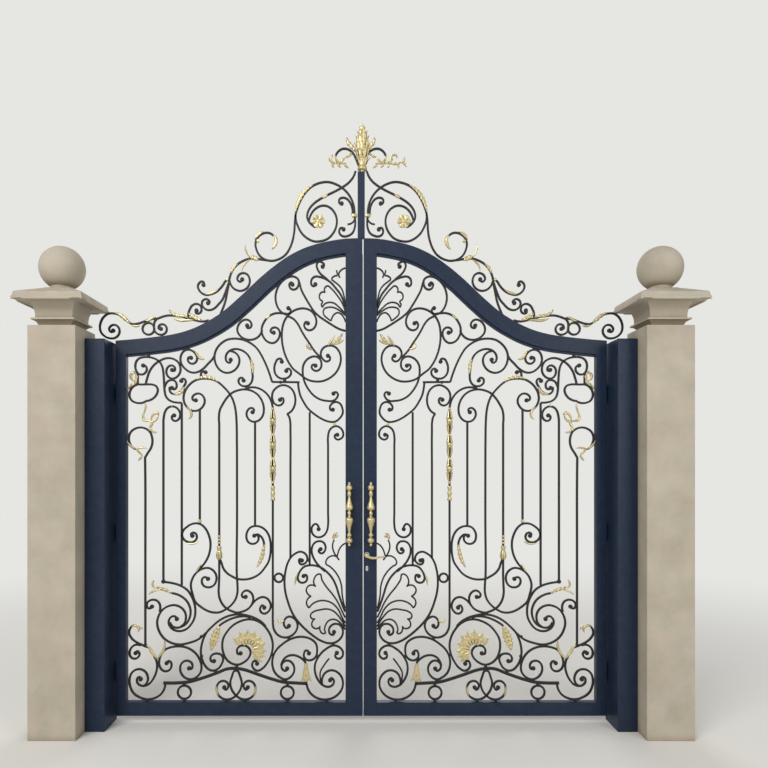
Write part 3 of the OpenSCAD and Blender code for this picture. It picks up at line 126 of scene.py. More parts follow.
# Bars of the right leaf, read from the drawing. A bar is its width (0 ordinary, 1 heavy, 2 fine),
# 1 for an eye at its start, 1 for an eye at its end, and the points of its middle line.
LOWER_BARS = [
    (1, 0, 0, [(361, 258), (444, 262), (522, 268), (600, 289), (704, 324), (777, 349), (845, 360), (904, 354),
        (956, 333), (1018, 310), (1091, 286), (1154, 269), (1216, 263), (1325, 262)]),
    (0, 0, 0, [(365, 257), (347, 203), (300, 163), (231, 151), (160, 180), (122, 250), (140, 315), (200, 347),
        (245, 325), (261, 290), (262, 255)]),
    (0, 1, 1, [(163, 463), (174, 445), (153, 424), (128, 437), (121, 462), (137, 494), (179, 513), (236, 489),
        (283, 442), (309, 385), (309, 333), (288, 281), (257, 247), (217, 236), (186, 256), (187, 285),
        (205, 292), (208, 280)]),
    (2, 0, 0, [(215, 425), (252, 375), (273, 338), (275, 302), (262, 258)]),
    (0, 1, 1, [(350, 460), (363, 479), (384, 455), (378, 427), (348, 413), (310, 430), (295, 484), (304, 526),
        (340, 557), (397, 571), (470, 557), (522, 526), (574, 474), (594, 422), (594, 375), (579, 333),
        (548, 302), (506, 286), (467, 307), (448, 349), (457, 388), (491, 412), (522, 400), (534, 375),
        (524, 350), (504, 344), (496, 358)]),
    (0, 0, 0, [(371, 396), (413, 435), (452, 448), (491, 442), (522, 416), (536, 380)]),
    (0, 1, 1, [(697, 391), (712, 409), (730, 388), (722, 359), (696, 344), (657, 362), (626, 401), (600, 458),
        (592, 510), (600, 562), (629, 619), (668, 661), (709, 682), (755, 688), (812, 674), (862, 645),
        (899, 604), (925, 557), (931, 512), (925, 468), (904, 422), (868, 393), (826, 384), (783, 402),
        (750, 436), (741, 470), (757, 500), (792, 513), (823, 500), (832, 477), (822, 455), (808, 460)]),
    (0, 0, 1, [(1003, 635), (1029, 609), (1055, 562), (1070, 510), (1074, 458), (1065, 416), (1044, 375),
        (1018, 351), (990, 344), (956, 359), (933, 393), (925, 427), (938, 450), (969, 459), (1000, 448),
        (1010, 425), (1000, 405), (986, 408)]),
    (0, 0, 0, [(640, 640), (668, 670), (704, 693), (756, 712), (808, 721), (852, 719), (904, 705), (956, 676),
        (1003, 635), (1044, 593), (1091, 554), (1154, 530), (1216, 519), (1278, 533), (1325, 565),
        (1356, 614), (1367, 666), (1354, 718), (1325, 757), (1289, 777), (1252, 783), (1211, 770),
        (1182, 739), (1174, 697), (1185, 661), (1206, 642)]),
    (0, 0, 0, [(738, 697), (770, 708), (800, 708), (852, 698), (904, 676), (951, 645)]),
    (0, 0, 1, [(1351, 739), (1346, 770), (1351, 793), (1369, 813), (1398, 819), (1427, 806), (1437, 783),
        (1429, 764), (1412, 762), (1402, 773)]),
    (0, 0, 0, [(1533, 645), (1549, 624), (1554, 593), (1538, 562), (1507, 536), (1471, 518), (1424, 500)]),
    (0, 0, 1, [(1476, 513), (1507, 518), (1538, 500), (1551, 468), (1544, 437), (1518, 424), (1492, 437),
        (1487, 463), (1502, 474), (1511, 462)]),
    (0, 0, 1, [(1388, 442), (1372, 411), (1367, 370), (1377, 323), (1398, 281), (1424, 253), (1455, 242),
        (1487, 250), (1503, 277), (1492, 300), (1478, 298), (1477, 286)]),
    (0, 0, 0, [(1312, 255), (1320, 219), (1346, 182), (1388, 159), (1434, 152), (1486, 167), (1528, 198),
        (1549, 245), (1551, 292), (1538, 328), (1512, 349), (1481, 354), (1450, 341), (1432, 312),
        (1429, 281), (1442, 255), (1458, 243)]),
    (0, 1, 1, [(1303, 395), (1290, 408), (1274, 398), (1271, 375), (1284, 349), (1312, 340), (1341, 356),
        (1354, 390), (1350, 425), (1336, 458), (1312, 485), (1268, 502), (1216, 507), (1164, 497),
        (1117, 468), (1086, 427), (1070, 375), (1076, 333), (1102, 302), (1138, 286), (1174, 294),
        (1204, 323), (1213, 359), (1200, 396), (1169, 411), (1138, 398), (1130, 375), (1138, 356),
        (1153, 360)]),
    (0, 1, 1, [(917, 232), (905, 217), (893, 228), (890, 250), (908, 272), (932, 275), (955, 262), (967, 238),
        (968, 210), (960, 186), (938, 163), (902, 151), (866, 158), (834, 182), (809, 219), (800, 260),
        (810, 302), (838.5, 345), (867, 302), (877, 260), (868, 219), (843, 182), (811, 158), (775, 151),
        (739, 163), (717, 186), (709, 210), (710, 238), (722, 262), (745, 275), (769, 272), (787, 250),
        (784, 228), (772, 217), (760, 232)]),
    (0, 1, 0, [(774, 838), (786, 834), (799, 846), (792, 869), (766, 881), (738, 866), (723, 832), (733, 788),
        (759, 757), (798, 739), (834, 733), (862, 741), (896, 757), (927, 786), (948, 827), (955, 869),
        (953, 920), (951, 980), (951, 1050), (951, 1150), (951, 1300), (951, 1500), (951, 1800),
        (951, 2000)]),
    (0, 1, 0, [(649, 766), (657, 780), (677, 762), (673, 739), (647, 726), (621, 741), (606, 773), (613, 806),
        (634, 830), (662, 837), (694, 825), (722, 800), (736, 780)]),
    (0, 0, 1, [(592, 2112), (592, 1800), (592, 1460), (592, 1300), (592, 1100), (592, 900), (592, 744),
        (592, 680), (584, 619), (564, 588), (532, 570), (496, 567), (460, 583), (434, 614), (426, 645),
        (434, 676), (454, 697), (486, 706), (508, 692), (518, 665), (512, 640), (496, 630), (484, 644)]),
    (0, 1, 1, [(397, 1082), (410, 1092), (416, 1073), (402, 1056), (382, 1060), (363, 1080), (363, 1108),
        (382, 1133), (408, 1141), (439, 1130), (465, 1110), (491, 1068), (506, 1016), (513, 964), (513, 912),
        (506, 860), (491, 806), (475, 760), (449, 708), (413, 661), (366, 614), (314, 572), (262, 541),
        (215, 528), (174, 533), (137, 562), (123, 593), (127, 630), (148, 653), (174, 658), (202, 645),
        (216, 614), (205, 588), (187, 585), (182, 603)]),
    (0, 0, 1, [(1325, 2000), (1325, 1600), (1325, 1200), (1325, 1000), (1325, 941)]),
    (0, 0, 1, [(1329, 938), (1268, 931), (1216, 916), (1164, 883), (1138, 845), (1118, 796), (1111, 744),
        (1117, 697), (1138, 656), (1169, 624), (1211, 609), (1250, 615), (1278, 637), (1290, 668),
        (1281, 696), (1258, 709), (1240, 702), (1235, 690)]),
    (0, 0, 0, [(1268, 863), (1216, 848), (1174, 817), (1148, 770), (1143, 728), (1154, 687), (1174, 656),
        (1206, 638), (1242, 632), (1268, 645), (1281, 668)]),
    (0, 0, 0, [(1448, 1775), (1446, 1600), (1446, 1200), (1446, 800), (1446, 518)]),
    (0, 0, 0, [(1449, 1768), (1429, 1803), (1409, 1834), (1399, 1869), (1402, 1912), (1415, 1943),
        (1443, 1965), (1481, 1973), (1518, 1963), (1543, 1943), (1556, 1908), (1552, 1874), (1537, 1846),
        (1512, 1828)]),
    (0, 0, 0, [(1202, 2136), (1202, 1800), (1202, 1400), (1202, 918)]),
    (0, 0, 0, [(1081, 2090), (1081, 1800), (1081, 1500), (1081, 1325)]),
    (0, 0, 0, [(345, 2075), (345, 1800), (345, 1400), (345, 1050)]),
    (0, 0, 0, [(474, 1100), (474, 1400), (474, 1700), (474, 1950), (476, 2016), (484, 2047), (497, 2064)]),
    (0, 0, 0, [(711, 1320), (711, 1500), (711, 1700), (711, 2010)]),
]
MIDDLE_BARS = [
    (0, 1, 1, [(1026, 959), (1036, 968), (1055, 969), (1068, 943), (1057, 915), (1026, 902), (992, 912),
        (972, 943), (972, 985), (992, 1016), (1024, 1032), (1055, 1029), (1091, 1011), (1117, 985),
        (1133, 954), (1141, 922), (1140, 900), (1130, 858), (1112, 806), (1076, 773), (1034, 747), (992, 734),
        (946, 736), (904, 757), (868, 786), (842, 822), (829, 869), (829, 920), (833, 980), (834, 1100),
        (832, 1300), (832, 1600), (833, 1900), (835, 2010), (840, 2078), (850, 2130), (868, 2177),
        (888, 2208), (914, 2237), (951, 2271), (990, 2292), (1045, 2300), (1085, 2297), (1112, 2288),
        (1145, 2265), (1170, 2235), (1186, 2200), (1190, 2165), (1178, 2125), (1154, 2098), (1122, 2084),
        (1088, 2090), (1060, 2115), (1048, 2150), (1058, 2182), (1086, 2200), (1115, 2194), (1131, 2172),
        (1124, 2155), (1108, 2155)]),
    (0, 1, 1, [(285, 1292), (290, 1316), (304, 1327), (322, 1318), (332, 1294), (326, 1262), (300, 1240),
        (278, 1238), (248, 1252), (228, 1284), (222, 1320), (222, 1400), (222, 1500), (222, 1700),
        (222, 1850), (222, 1914), (214, 1950), (196, 1972), (170, 1982), (142, 1972), (122, 1944),
        (122, 1914), (140, 1896), (160, 1892), (176, 1906), (174, 1924), (160, 1924)]),
    (0, 0, 0, [(946, 1089), (935, 1063), (925, 1032), (899, 998), (862, 974), (831, 959), (800, 955),
        (766, 956), (720, 969), (678, 995), (647, 1032), (621, 1073), (610, 1115), (606, 1162), (609, 1214),
        (621, 1255), (642, 1286), (673, 1307), (709, 1313), (742, 1303), (764, 1273), (769, 1236),
        (756, 1205), (727, 1193), (700, 1203), (687, 1229), (697, 1254)]),
    (0, 0, 1, [(652, 1172), (655, 1214), (670, 1241), (697, 1257), (716, 1248)]),
    (0, 0, 1, [(1089, 1019), (1076, 1032), (1050, 1063), (1024, 1110), (1011, 1162), (1011, 1214),
        (1024, 1260), (1044, 1297), (1076, 1325), (1105, 1331), (1135, 1326), (1166, 1308), (1193, 1280),
        (1200, 1252), (1188, 1224), (1160, 1206), (1128, 1206), (1106, 1222), (1101, 1246), (1112, 1265),
        (1131, 1268), (1140, 1256), (1131, 1247)]),
]
UPPER_BARS = [
    (0, 0, 1, [(1202, 2139), (1237, 2140), (1266, 2146), (1291, 2160), (1308, 2182), (1316, 2212),
        (1319, 2245), (1321, 2285), (1323, 2318), (1326, 2350), (1333, 2382), (1350, 2412), (1383, 2434),
        (1422, 2444), (1460, 2444), (1490, 2434), (1508, 2412), (1513, 2384), (1507, 2354), (1490, 2332),
        (1466, 2328), (1444, 2342), (1436, 2366), (1446, 2386), (1460, 2388)]),
    (0, 0, 1, [(1318, 2240), (1309, 2264), (1298, 2280), (1277, 2290), (1254, 2288), (1240, 2274),
        (1236, 2254), (1243, 2234), (1258, 2228), (1268, 2238)]),
    (0, 1, 0, [(1253, 2054), (1266, 2050), (1268, 2036), (1254, 2018), (1233, 2020), (1216, 2039),
        (1212, 2063), (1221, 2088), (1240, 2107), (1268, 2114), (1296, 2104), (1313, 2080), (1322, 2045),
        (1325, 2000)]),
    (0, 1, 0, [(1266, 2358), (1254, 2352), (1247, 2368), (1266, 2388), (1296, 2376), (1305, 2350),
        (1299, 2323), (1278, 2303), (1253, 2302), (1226, 2320), (1212, 2347), (1212, 2379), (1226, 2410),
        (1254, 2430), (1285, 2438), (1318, 2434), (1349, 2420), (1376, 2402), (1400, 2377), (1419, 2346),
        (1432, 2308), (1439, 2284), (1443, 2262)]),
    (0, 0, 0, [(1498, 2330), (1497, 2290), (1500, 2262), (1520, 2252), (1540, 2232), (1551, 2205),
        (1550, 2178), (1536, 2153), (1512, 2140), (1480, 2136), (1446, 2146)]),
    (0, 0, 0, [(1500, 2262), (1462, 2261), (1427, 2262), (1398, 2260), (1374, 2250), (1363, 2230),
        (1367, 2202), (1382, 2178), (1406, 2160), (1446, 2150)]),
    (0, 0, 1, [(982, 2455), (998, 2429), (1024, 2402), (1052, 2372), (1081, 2351), (1115, 2340), (1148, 2345),
        (1178, 2365), (1202, 2395), (1211, 2430), (1204, 2463), (1186, 2486), (1160, 2494), (1133, 2487),
        (1110, 2466), (1099, 2438), (1107, 2412), (1128, 2400), (1152, 2408), (1161, 2429), (1152, 2444),
        (1140, 2440)]),
    (0, 0, 1, [(1068, 2302), (1074, 2326), (1064, 2347), (1043, 2343)]),
    (0, 1, 0, [(1205, 2285), (1197, 2299), (1182, 2296), (1175, 2280), (1180, 2262), (1190, 2246),
        (1200, 2225), (1222, 2205), (1248, 2196)]),
    (0, 0, 0, [(1281, 2245), (1283, 2222), (1271, 2203), (1248, 2196)]),
    (0, 0, 0, [(413, 2276), (500, 2277), (597, 2278)]),
    (0, 0, 1, [(423, 2277), (418, 2229), (408, 2188), (387, 2146), (356, 2099), (314, 2063), (267, 2032),
        (220, 2013), (179, 2011), (142, 2037), (124, 2068), (127, 2104), (142, 2133), (171, 2144),
        (198, 2131), (210, 2106), (200, 2088), (190, 2092)]),
    (0, 0, 1, [(497, 2064), (470, 2080), (450, 2110), (441, 2150), (445, 2190), (461, 2225), (490, 2249),
        (532, 2256), (564, 2242), (587, 2219), (597, 2188), (593, 2156), (577, 2130), (551, 2120),
        (529, 2131), (520, 2151), (529, 2170), (544, 2158)]),
    (0, 0, 0, [(597, 2278), (605, 2305), (621, 2352), (642, 2404), (668, 2456), (699, 2503), (740, 2537),
        (790, 2560), (857, 2568), (900, 2560), (937, 2537), (965, 2505), (980, 2470), (982, 2430),
        (970, 2390), (945, 2357), (904, 2339), (862, 2348), (831, 2375), (816, 2413), (823, 2452),
        (846, 2475), (875, 2484)]),
    (0, 1, 1, [(874, 2427), (880, 2408), (898, 2412), (907, 2432), (903, 2462), (885, 2484), (850, 2498),
        (808, 2493), (772, 2472), (746, 2438), (735, 2400), (730, 2349), (727, 2312), (733, 2281),
        (751, 2257), (777, 2249), (808, 2258), (822, 2281), (813, 2303), (794, 2304), (788, 2288)]),
    (0, 0, 0, [(594, 2112), (600, 2141), (616, 2177), (642, 2208), (673, 2229), (709, 2241), (746, 2241),
        (777, 2232)]),
    (0, 1, 0, [(728, 2075), (718, 2092), (736, 2104), (757, 2093), (768, 2066), (757, 2032), (727, 2012),
        (692, 2017), (662, 2047), (652, 2089), (657, 2130), (673, 2167), (699, 2198), (735, 2219),
        (782, 2228), (824, 2222), (868, 2203), (899, 2172), (928, 2128), (947, 2089), (953, 2047),
        (951, 2000)]),
    (0, 1, 1, [(223, 2453), (209, 2443), (212, 2424), (232, 2415), (258, 2432), (271, 2466), (257, 2502),
        (220, 2521), (179, 2515), (148, 2482), (136, 2435), (144, 2388), (168, 2342), (205, 2308),
        (262, 2283), (309, 2281), (356, 2292), (418, 2336), (454, 2364), (480, 2399), (506, 2451),
        (522, 2503), (531, 2560), (531, 2612), (525, 2655), (511, 2693), (492, 2722), (469, 2744),
        (439, 2761), (404, 2770), (367, 2768), (335, 2753), (311, 2723), (300, 2680), (309, 2648),
        (330, 2628), (356, 2625), (378, 2643), (380, 2667), (366, 2680), (357, 2671)]),
    (0, 1, 1, [(306, 2387), (322, 2394), (332, 2378), (322, 2360), (298, 2352), (275, 2366), (266, 2399),
        (276, 2430), (304, 2448), (340, 2443), (371, 2420), (388, 2388), (392, 2350), (388, 2310),
        (376, 2270), (350, 2224), (314, 2184), (272, 2160), (226, 2151), (184, 2153), (163, 2172),
        (156, 2196), (170, 2210), (186, 2200)]),
    (0, 0, 0, [(490, 2717), (453, 2699), (424, 2665), (400, 2620), (373, 2575), (345, 2534), (318, 2492),
        (290, 2460), (268, 2440)]),
    (0, 0, 1, [(105, 2620), (148, 2633), (194, 2659), (241, 2689), (280, 2716), (314, 2748), (345, 2794),
        (376, 2846), (402, 2898), (413, 2940), (424, 2967), (449, 2983), (484, 2981), (517, 2963),
        (547, 2931), (567, 2888), (574, 2843), (567, 2798), (548, 2760), (522, 2737), (496, 2731),
        (477, 2742), (474, 2764), (488, 2772)]),
    (0, 1, 0, [(460, 2930), (466, 2944), (479, 2937), (480, 2916), (463, 2898), (441, 2899), (425, 2914),
        (418, 2938), (421, 2962)]),
    (0, 0, 1, [(494, 2733), (530, 2738), (566, 2739), (602, 2728), (629, 2709), (650, 2680), (664, 2648),
        (667, 2618), (660, 2590), (642, 2560), (616, 2542), (588, 2539), (563, 2555), (548, 2582),
        (546, 2612), (558, 2635), (582, 2643), (603, 2631), (605, 2612), (586, 2608)]),
    (0, 0, 1, [(664, 2625), (672, 2602), (690, 2580), (716, 2565), (751, 2560), (784, 2568), (810, 2586),
        (827, 2612), (829, 2640), (817, 2668), (793, 2690), (764, 2695), (741, 2680), (735, 2655),
        (748, 2640), (766, 2644), (764, 2656)]),
    (0, 1, 1, [(532, 2414), (536, 2432), (553, 2433), (575, 2404), (582, 2368), (574, 2331), (548, 2305),
        (515, 2300), (486, 2311), (470, 2335), (476, 2360), (495, 2366), (502, 2352)]),
]
LEAF_BARS = [
    (2, 0, 0, [(108, 664), (129, 702), (158, 760), (200, 799), (252, 814), (304, 804), (335, 783),
        (348, 765)]),
    (2, 0, 0, [(348, 765), (366, 793), (360, 822), (335, 842)]),
    (2, 0, 0, [(335, 842), (358, 858), (368, 882), (352, 912), (330, 918), (304, 907)]),
    (2, 0, 0, [(304, 907), (318, 933), (314, 962), (298, 985), (282, 992), (262, 950), (233, 905), (194, 858),
        (160, 808), (132, 750), (108, 700)]),
    (2, 0, 0, [(108, 640), (137, 690), (158, 717), (184, 742), (226, 757), (272, 752), (314, 741), (338, 720),
        (337, 700), (309, 692)]),
    (2, 0, 0, [(309, 692), (328, 671), (330, 645), (309, 627), (288, 628), (275, 642)]),
    (2, 0, 0, [(275, 642), (275, 612), (260, 594), (243, 594), (246, 620), (239, 648), (224, 673), (194, 688),
        (163, 682), (137, 661), (108, 620)]),
    (0, 0, 1, [(108, 740), (132, 800), (152, 860), (168, 912), (194, 964), (231, 1006), (267, 1034),
        (304, 1047), (345, 1050), (382, 1040), (406, 1016), (420, 988), (424, 958), (412, 938), (390, 933),
        (368, 944), (362, 968), (372, 986), (386, 978)]),
    (2, 0, 0, [(108, 760), (127, 850), (132, 912), (148, 964), (174, 1006), (210, 1042), (236, 1060),
        (231, 1089), (210, 1108), (184, 1114), (160, 1104)]),
    (2, 0, 0, [(146, 1086), (160, 1104), (156, 1130), (142, 1165), (122, 1188), (105, 1197)]),
    (2, 0, 0, [(160, 1104), (176, 1125), (190, 1160), (191, 1190), (180, 1220)]),
    (0, 0, 1, [(240, 1008), (262, 1026), (288, 1052), (314, 1089), (330, 1130), (330, 1167), (314, 1198),
        (288, 1211), (257, 1206), (239, 1177), (244, 1146), (262, 1130), (280, 1136), (284, 1152),
        (272, 1158)]),
    (2, 0, 0, [(105, 2745), (124, 2799), (168, 2867), (200, 2903), (228, 2921), (246, 2901), (241, 2877)]),
    (2, 0, 0, [(241, 2877), (264, 2879), (280, 2856), (275, 2830), (259, 2817), (267, 2796), (259, 2778)]),
    (2, 0, 0, [(259, 2778), (246, 2799), (215, 2811), (179, 2804), (148, 2778), (105, 2735)]),
    (2, 0, 0, [(105, 2722), (148, 2758), (184, 2776), (220, 2778), (246, 2768), (254, 2752), (249, 2726),
        (231, 2708), (202, 2687)]),
    (2, 0, 0, [(202, 2687), (194, 2711), (179, 2732), (158, 2742), (137, 2734), (112, 2700), (105, 2680)]),
    (0, 0, 1, [(108, 2770), (119, 2820), (137, 2862), (168, 2903), (205, 2945), (246, 2971), (278, 2981),
        (306, 2984), (325, 2974), (335, 2950), (331, 2926), (314, 2920), (307, 2932)]),
    (2, 0, 0, [(108, 2780), (116, 2856), (129, 2898), (153, 2929), (184, 2953), (197, 2966), (184, 2984),
        (158, 2989)]),
    (2, 0, 0, [(142, 2977), (150, 2992), (146, 3012), (130, 3030), (105, 3041)]),
    (2, 0, 0, [(150, 2992), (160, 3004), (163, 3026)]),
    (0, 0, 1, [(225, 2962), (241, 2976), (272, 3002), (291, 3030), (298, 3062), (284, 3084), (262, 3078),
        (248, 3062), (258, 3050)]),
]
OVER_BARS = [
    (0, 0, 0, [(38, 3690), (52, 3652), (82, 3614), (127, 3581), (172, 3556), (225, 3530), (276, 3502),
        (313, 3476), (343, 3443), (360, 3405), (361, 3375), (348, 3348), (328, 3328), (306, 3314)]),
    (0, 0, 0, [(46, 3384), (46, 3435), (59, 3487), (89, 3540), (127, 3577), (172, 3603), (224, 3617),
        (276, 3611), (321, 3593), (370, 3550), (405, 3495), (428, 3440), (439, 3398), (437, 3361),
        (422, 3316), (396, 3271), (358, 3238), (313, 3219), (269, 3221), (224, 3237), (190, 3271),
        (168, 3316), (163, 3361), (175, 3405), (201, 3439), (239, 3458), (276, 3455), (313, 3432),
        (336, 3400), (349, 3362)]),
    (0, 0, 1, [(59, 3396), (58, 3425), (64, 3455), (78, 3485), (98, 3505), (122, 3512), (142, 3505),
        (149, 3489), (143, 3474), (131, 3473)]),
    (2, 0, 0, [(44, 3370), (52, 3352), (68, 3339), (92, 3334)]),
    (0, 0, 1, [(44, 3384), (40, 3345), (44, 3308), (60, 3274), (90, 3256), (120, 3253), (142, 3268),
        (147, 3292), (132, 3310), (118, 3300)]),
    (0, 0, 0, [(439, 3398), (444, 3353), (448, 3286), (459, 3226), (478, 3174), (508, 3129), (552, 3100),
        (600, 3089), (645, 3098), (680, 3124), (700, 3160), (708, 3200), (700, 3235), (676, 3262),
        (645, 3276), (615, 3275), (588, 3258)]),
    (0, 0, 0, [(600, 3089), (650, 3095), (700, 3102), (745, 3104), (784, 3092), (820, 3072), (848, 3046),
        (868, 3014), (880, 2978), (885, 2945), (891, 2912), (898, 2876), (906, 2834), (918, 2793),
        (936, 2748), (948, 2720)]),
    (0, 1, 0, [(797, 2965), (808, 2950), (826, 2958), (824, 2988), (795, 3007), (764, 2998), (747, 2966),
        (752, 2926), (777, 2898), (808, 2888), (842, 2896), (866, 2917), (880, 2947), (884, 2975)]),
    (0, 0, 1, [(888, 2940), (899, 2907), (914, 2866), (930, 2829), (956, 2798), (982, 2772), (1008, 2760),
        (1034, 2761), (1055, 2775), (1067, 2798), (1063, 2820), (1046, 2832), (1026, 2829), (1016, 2812),
        (1026, 2806)]),
    (0, 0, 1, [(888, 2965), (909, 2953), (925, 2928), (951, 2897), (972, 2880), (1005, 2866), (1045, 2862),
        (1068, 2873), (1086, 2893), (1094, 2918), (1084, 2942), (1064, 2951), (1052, 2940), (1056, 2928)]),
    (0, 1, 0, [(1103, 2757), (1108, 2742), (1090, 2736), (1074, 2747), (1070, 2770), (1082, 2793),
        (1106, 2801), (1132, 2790), (1149, 2763), (1158, 2735), (1156, 2706)]),
    (0, 0, 1, [(1020, 2692), (1060, 2683), (1110, 2690), (1156, 2704), (1205, 2716), (1258, 2722),
        (1294, 2723), (1333, 2714), (1366, 2702), (1405, 2700), (1450, 2684), (1500, 2668), (1541, 2668),
        (1572, 2696), (1610, 2722), (1660, 2737), (1690, 2736), (1720, 2718), (1742, 2685), (1750, 2646),
        (1743, 2612), (1718, 2584), (1682, 2570), (1647, 2574), (1623, 2598), (1621, 2635), (1650, 2660),
        (1680, 2650), (1687, 2625), (1672, 2612), (1661, 2622)]),
    (0, 0, 1, [(1366, 2702), (1384, 2680), (1388, 2650), (1384, 2620), (1364, 2600), (1338, 2594),
        (1312, 2606), (1302, 2632), (1312, 2656), (1336, 2664), (1356, 2650), (1352, 2632), (1342, 2634)]),
]
# Rings and discs are (across, up, radius), collars (across, up)
RINGS = [(495, 197, 44), (1184, 200, 45), (552, 966, 29)]
COLLARS = [(493, 141), (493, 253), (1184, 141), (1184, 254), (506, 277), (231, 139), (902, 139), (775, 139),
    (1434, 139), (186, 521), (295, 440), (597, 452), (484, 558), (834, 371), (975, 334), (1069, 440),
    (1360, 395), (1446, 516), (512, 2288), (486, 2990), (1158, 2503), (1425, 2456), (1072, 572), (350, 1084),
    (599, 2160), (1066, 2310), (186, 2150), (541, 2276)]
OVER_RINGS = [(1425, 2634, 40)]
GILT_DISCS = [(1412, 1960, 10), (1455, 2022, 9), (1366, 2068, 10), (1081, 1347, 11), (1265, 2122, 9),
    (178, 1994, 10)]
CREST_DISCS = [(690, 3222, 10), (897, 2964, 10)]
# A gilded leaf is its width, 1 if its edge is lobed, and the points of its midrib
GILT_LEAVES = [
    (56, 1, [(951, 642), (968, 600), (985, 550), (1000, 505), (1005, 480)]),
    (20, 0, [(1442, 516), (1420, 500), (1406, 474), (1386, 447), (1368, 423)]),
    (20, 0, [(1318, 542), (1317, 506), (1327, 472), (1343, 450), (1366, 423)]),
    (24, 1, [(1266, 857), (1303, 881), (1342, 894), (1378, 906)]),
    (14, 0, [(1378, 896), (1397, 916), (1394, 938), (1384, 954)]),
    (14, 0, [(1334, 890), (1368, 884), (1400, 872), (1424, 852)]),
    (18, 0, [(1546, 632), (1522, 647), (1500, 640), (1488, 621), (1496, 602)]),
    (12, 0, [(1500, 640), (1480, 636), (1466, 620)]),
    (14, 0, [(1071, 1057), (1090, 1029), (1108, 998)]),
    (16, 0, [(712, 250), (708, 225), (713, 195), (727, 172)]),
    (16, 0, [(965, 250), (969, 225), (964, 195), (950, 172)]),
    (14, 0, [(512, 690), (530, 672), (552, 672), (562, 690)]),
    (14, 0, [(424, 1000), (436, 965), (444, 915)]),
    (28, 1, [(646, 1196), (654, 1160), (662, 1118), (680, 1070), (700, 1035)]),
    (26, 1, [(955, 2272), (985, 2296), (1030, 2308), (1075, 2306), (1105, 2292)]),
    (18, 0, [(1178, 2112), (1152, 2098), (1138, 2072), (1140, 2045), (1160, 2028)]),
    (26, 1, [(1190, 2252), (1193, 2228), (1208, 2208), (1235, 2197), (1262, 2198)]),
    (17, 0, [(1360, 2052), (1362, 2072), (1384, 2066), (1402, 2044), (1408, 2022)]),
    (17, 0, [(1360, 2056), (1368, 2034), (1384, 2018), (1410, 2012), (1424, 2020)]),
    (18, 0, [(1400, 2022), (1402, 1996), (1412, 1976), (1413, 1952)]),
    (15, 0, [(1412, 1974), (1400, 1948), (1384, 1940), (1366, 1943)]),
    (17, 0, [(1404, 2020), (1432, 2018), (1455, 2026), (1461, 2046), (1450, 2078)]),
    (13, 0, [(1459, 2052), (1451, 2080), (1443, 2112), (1447, 2146)]),
    (18, 0, [(1572, 1888), (1554, 1862), (1530, 1840), (1500, 1829)]),
    (17, 0, [(1516, 1834), (1492, 1814), (1474, 1794), (1466, 1780)]),
    (15, 0, [(1467, 1788), (1478, 1768), (1492, 1750)]),
    (13, 0, [(1436, 1832), (1462, 1838), (1492, 1834), (1518, 1832)]),
    (20, 0, [(184, 1218), (184, 1240), (174, 1258), (158, 1268)]),
    (14, 0, [(182, 1236), (168, 1240), (152, 1250)]),
    (15, 0, [(1090, 1209), (1117, 1197), (1148, 1195), (1177, 1201)]),
    (24, 1, [(1527, 2352), (1508, 2330), (1504, 2300), (1516, 2270), (1542, 2252), (1566, 2222)]),
    (20, 0, [(1512, 2340), (1535, 2335), (1538, 2300), (1520, 2285)]),
    (24, 1, [(742, 2440), (731, 2400), (727, 2360), (726, 2325)]),
    (18, 0, [(318, 2495), (340, 2500), (362, 2520), (352, 2540)]),
    (24, 1, [(205, 2525), (170, 2545), (140, 2580), (125, 2605)]),
    (18, 0, [(226, 2514), (212, 2534), (195, 2560), (175, 2590)]),
    (16, 0, [(180, 2530), (140, 2545), (118, 2560)]),
    (18, 0, [(606, 2727), (624, 2714), (641, 2695)]),
    (20, 0, [(1046, 2432), (1078, 2436), (1098, 2462), (1114, 2492)]),
]
CREST_LEAVES = [
    (24, 0, [(222, 3532), (242, 3522), (262, 3508)]),
    (32, 1, [(318, 3597), (350, 3578), (385, 3545), (412, 3500), (430, 3455), (440, 3410)]),
    (24, 0, [(590, 3264), (571, 3235), (575, 3200), (600, 3166)]),
    (24, 0, [(655, 3284), (690, 3262), (712, 3232)]),
    (36, 1, [(686, 3092), (718, 3108), (750, 3118)]),
    (12, 0, [(740, 3110), (762, 3135), (775, 3170), (776, 3202)]),
    (14, 0, [(742, 3098), (775, 3075), (792, 3050), (796, 3020)]),
    (24, 1, [(822, 3072), (848, 3050), (866, 3022), (872, 3000)]),
    (20, 0, [(955, 2900), (985, 2880), (1020, 2868), (1050, 2866)]),
    (30, 1, [(1062, 2690), (1100, 2700), (1135, 2722), (1160, 2742)]),
    (26, 1, [(1150, 2705), (1190, 2718), (1230, 2722), (1262, 2735), (1288, 2766)]),
    (20, 0, [(1110, 2690), (1160, 2692), (1210, 2690), (1258, 2702)]),
    (20, 0, [(1372, 2712), (1400, 2705), (1425, 2690), (1452, 2688)]),
    (16, 0, [(1480, 2655), (1510, 2652), (1540, 2660)]),
    (28, 1, [(1545, 2665), (1575, 2695), (1612, 2725), (1652, 2742)]),
]
HOOK_LEAVES = [
    (18, 1, [(165, 3812), (164, 3786), (150, 3764), (122, 3754), (94, 3756)]),
    (18, 1, [(214, 3794), (202, 3772), (184, 3758), (160, 3756), (140, 3758)]),
    (18, 1, [(56, 3832), (66, 3812), (84, 3800), (104, 3796)]),
    (16, 0, [(110, 3758), (98, 3738), (78, 3722)]),
    (16, 0, [(150, 3762), (146, 3742), (130, 3726)]),
    (15, 0, [(128, 3756), (120, 3776), (102, 3786)]),
    (14, 0, [(184, 3758), (186, 3738), (176, 3724)]),
    (15, 0, [(190, 3764), (196, 3792), (186, 3812)]),
    (30, 1, [(26, 3830), (58, 3868), (82, 3896), (90, 3930)]),
]
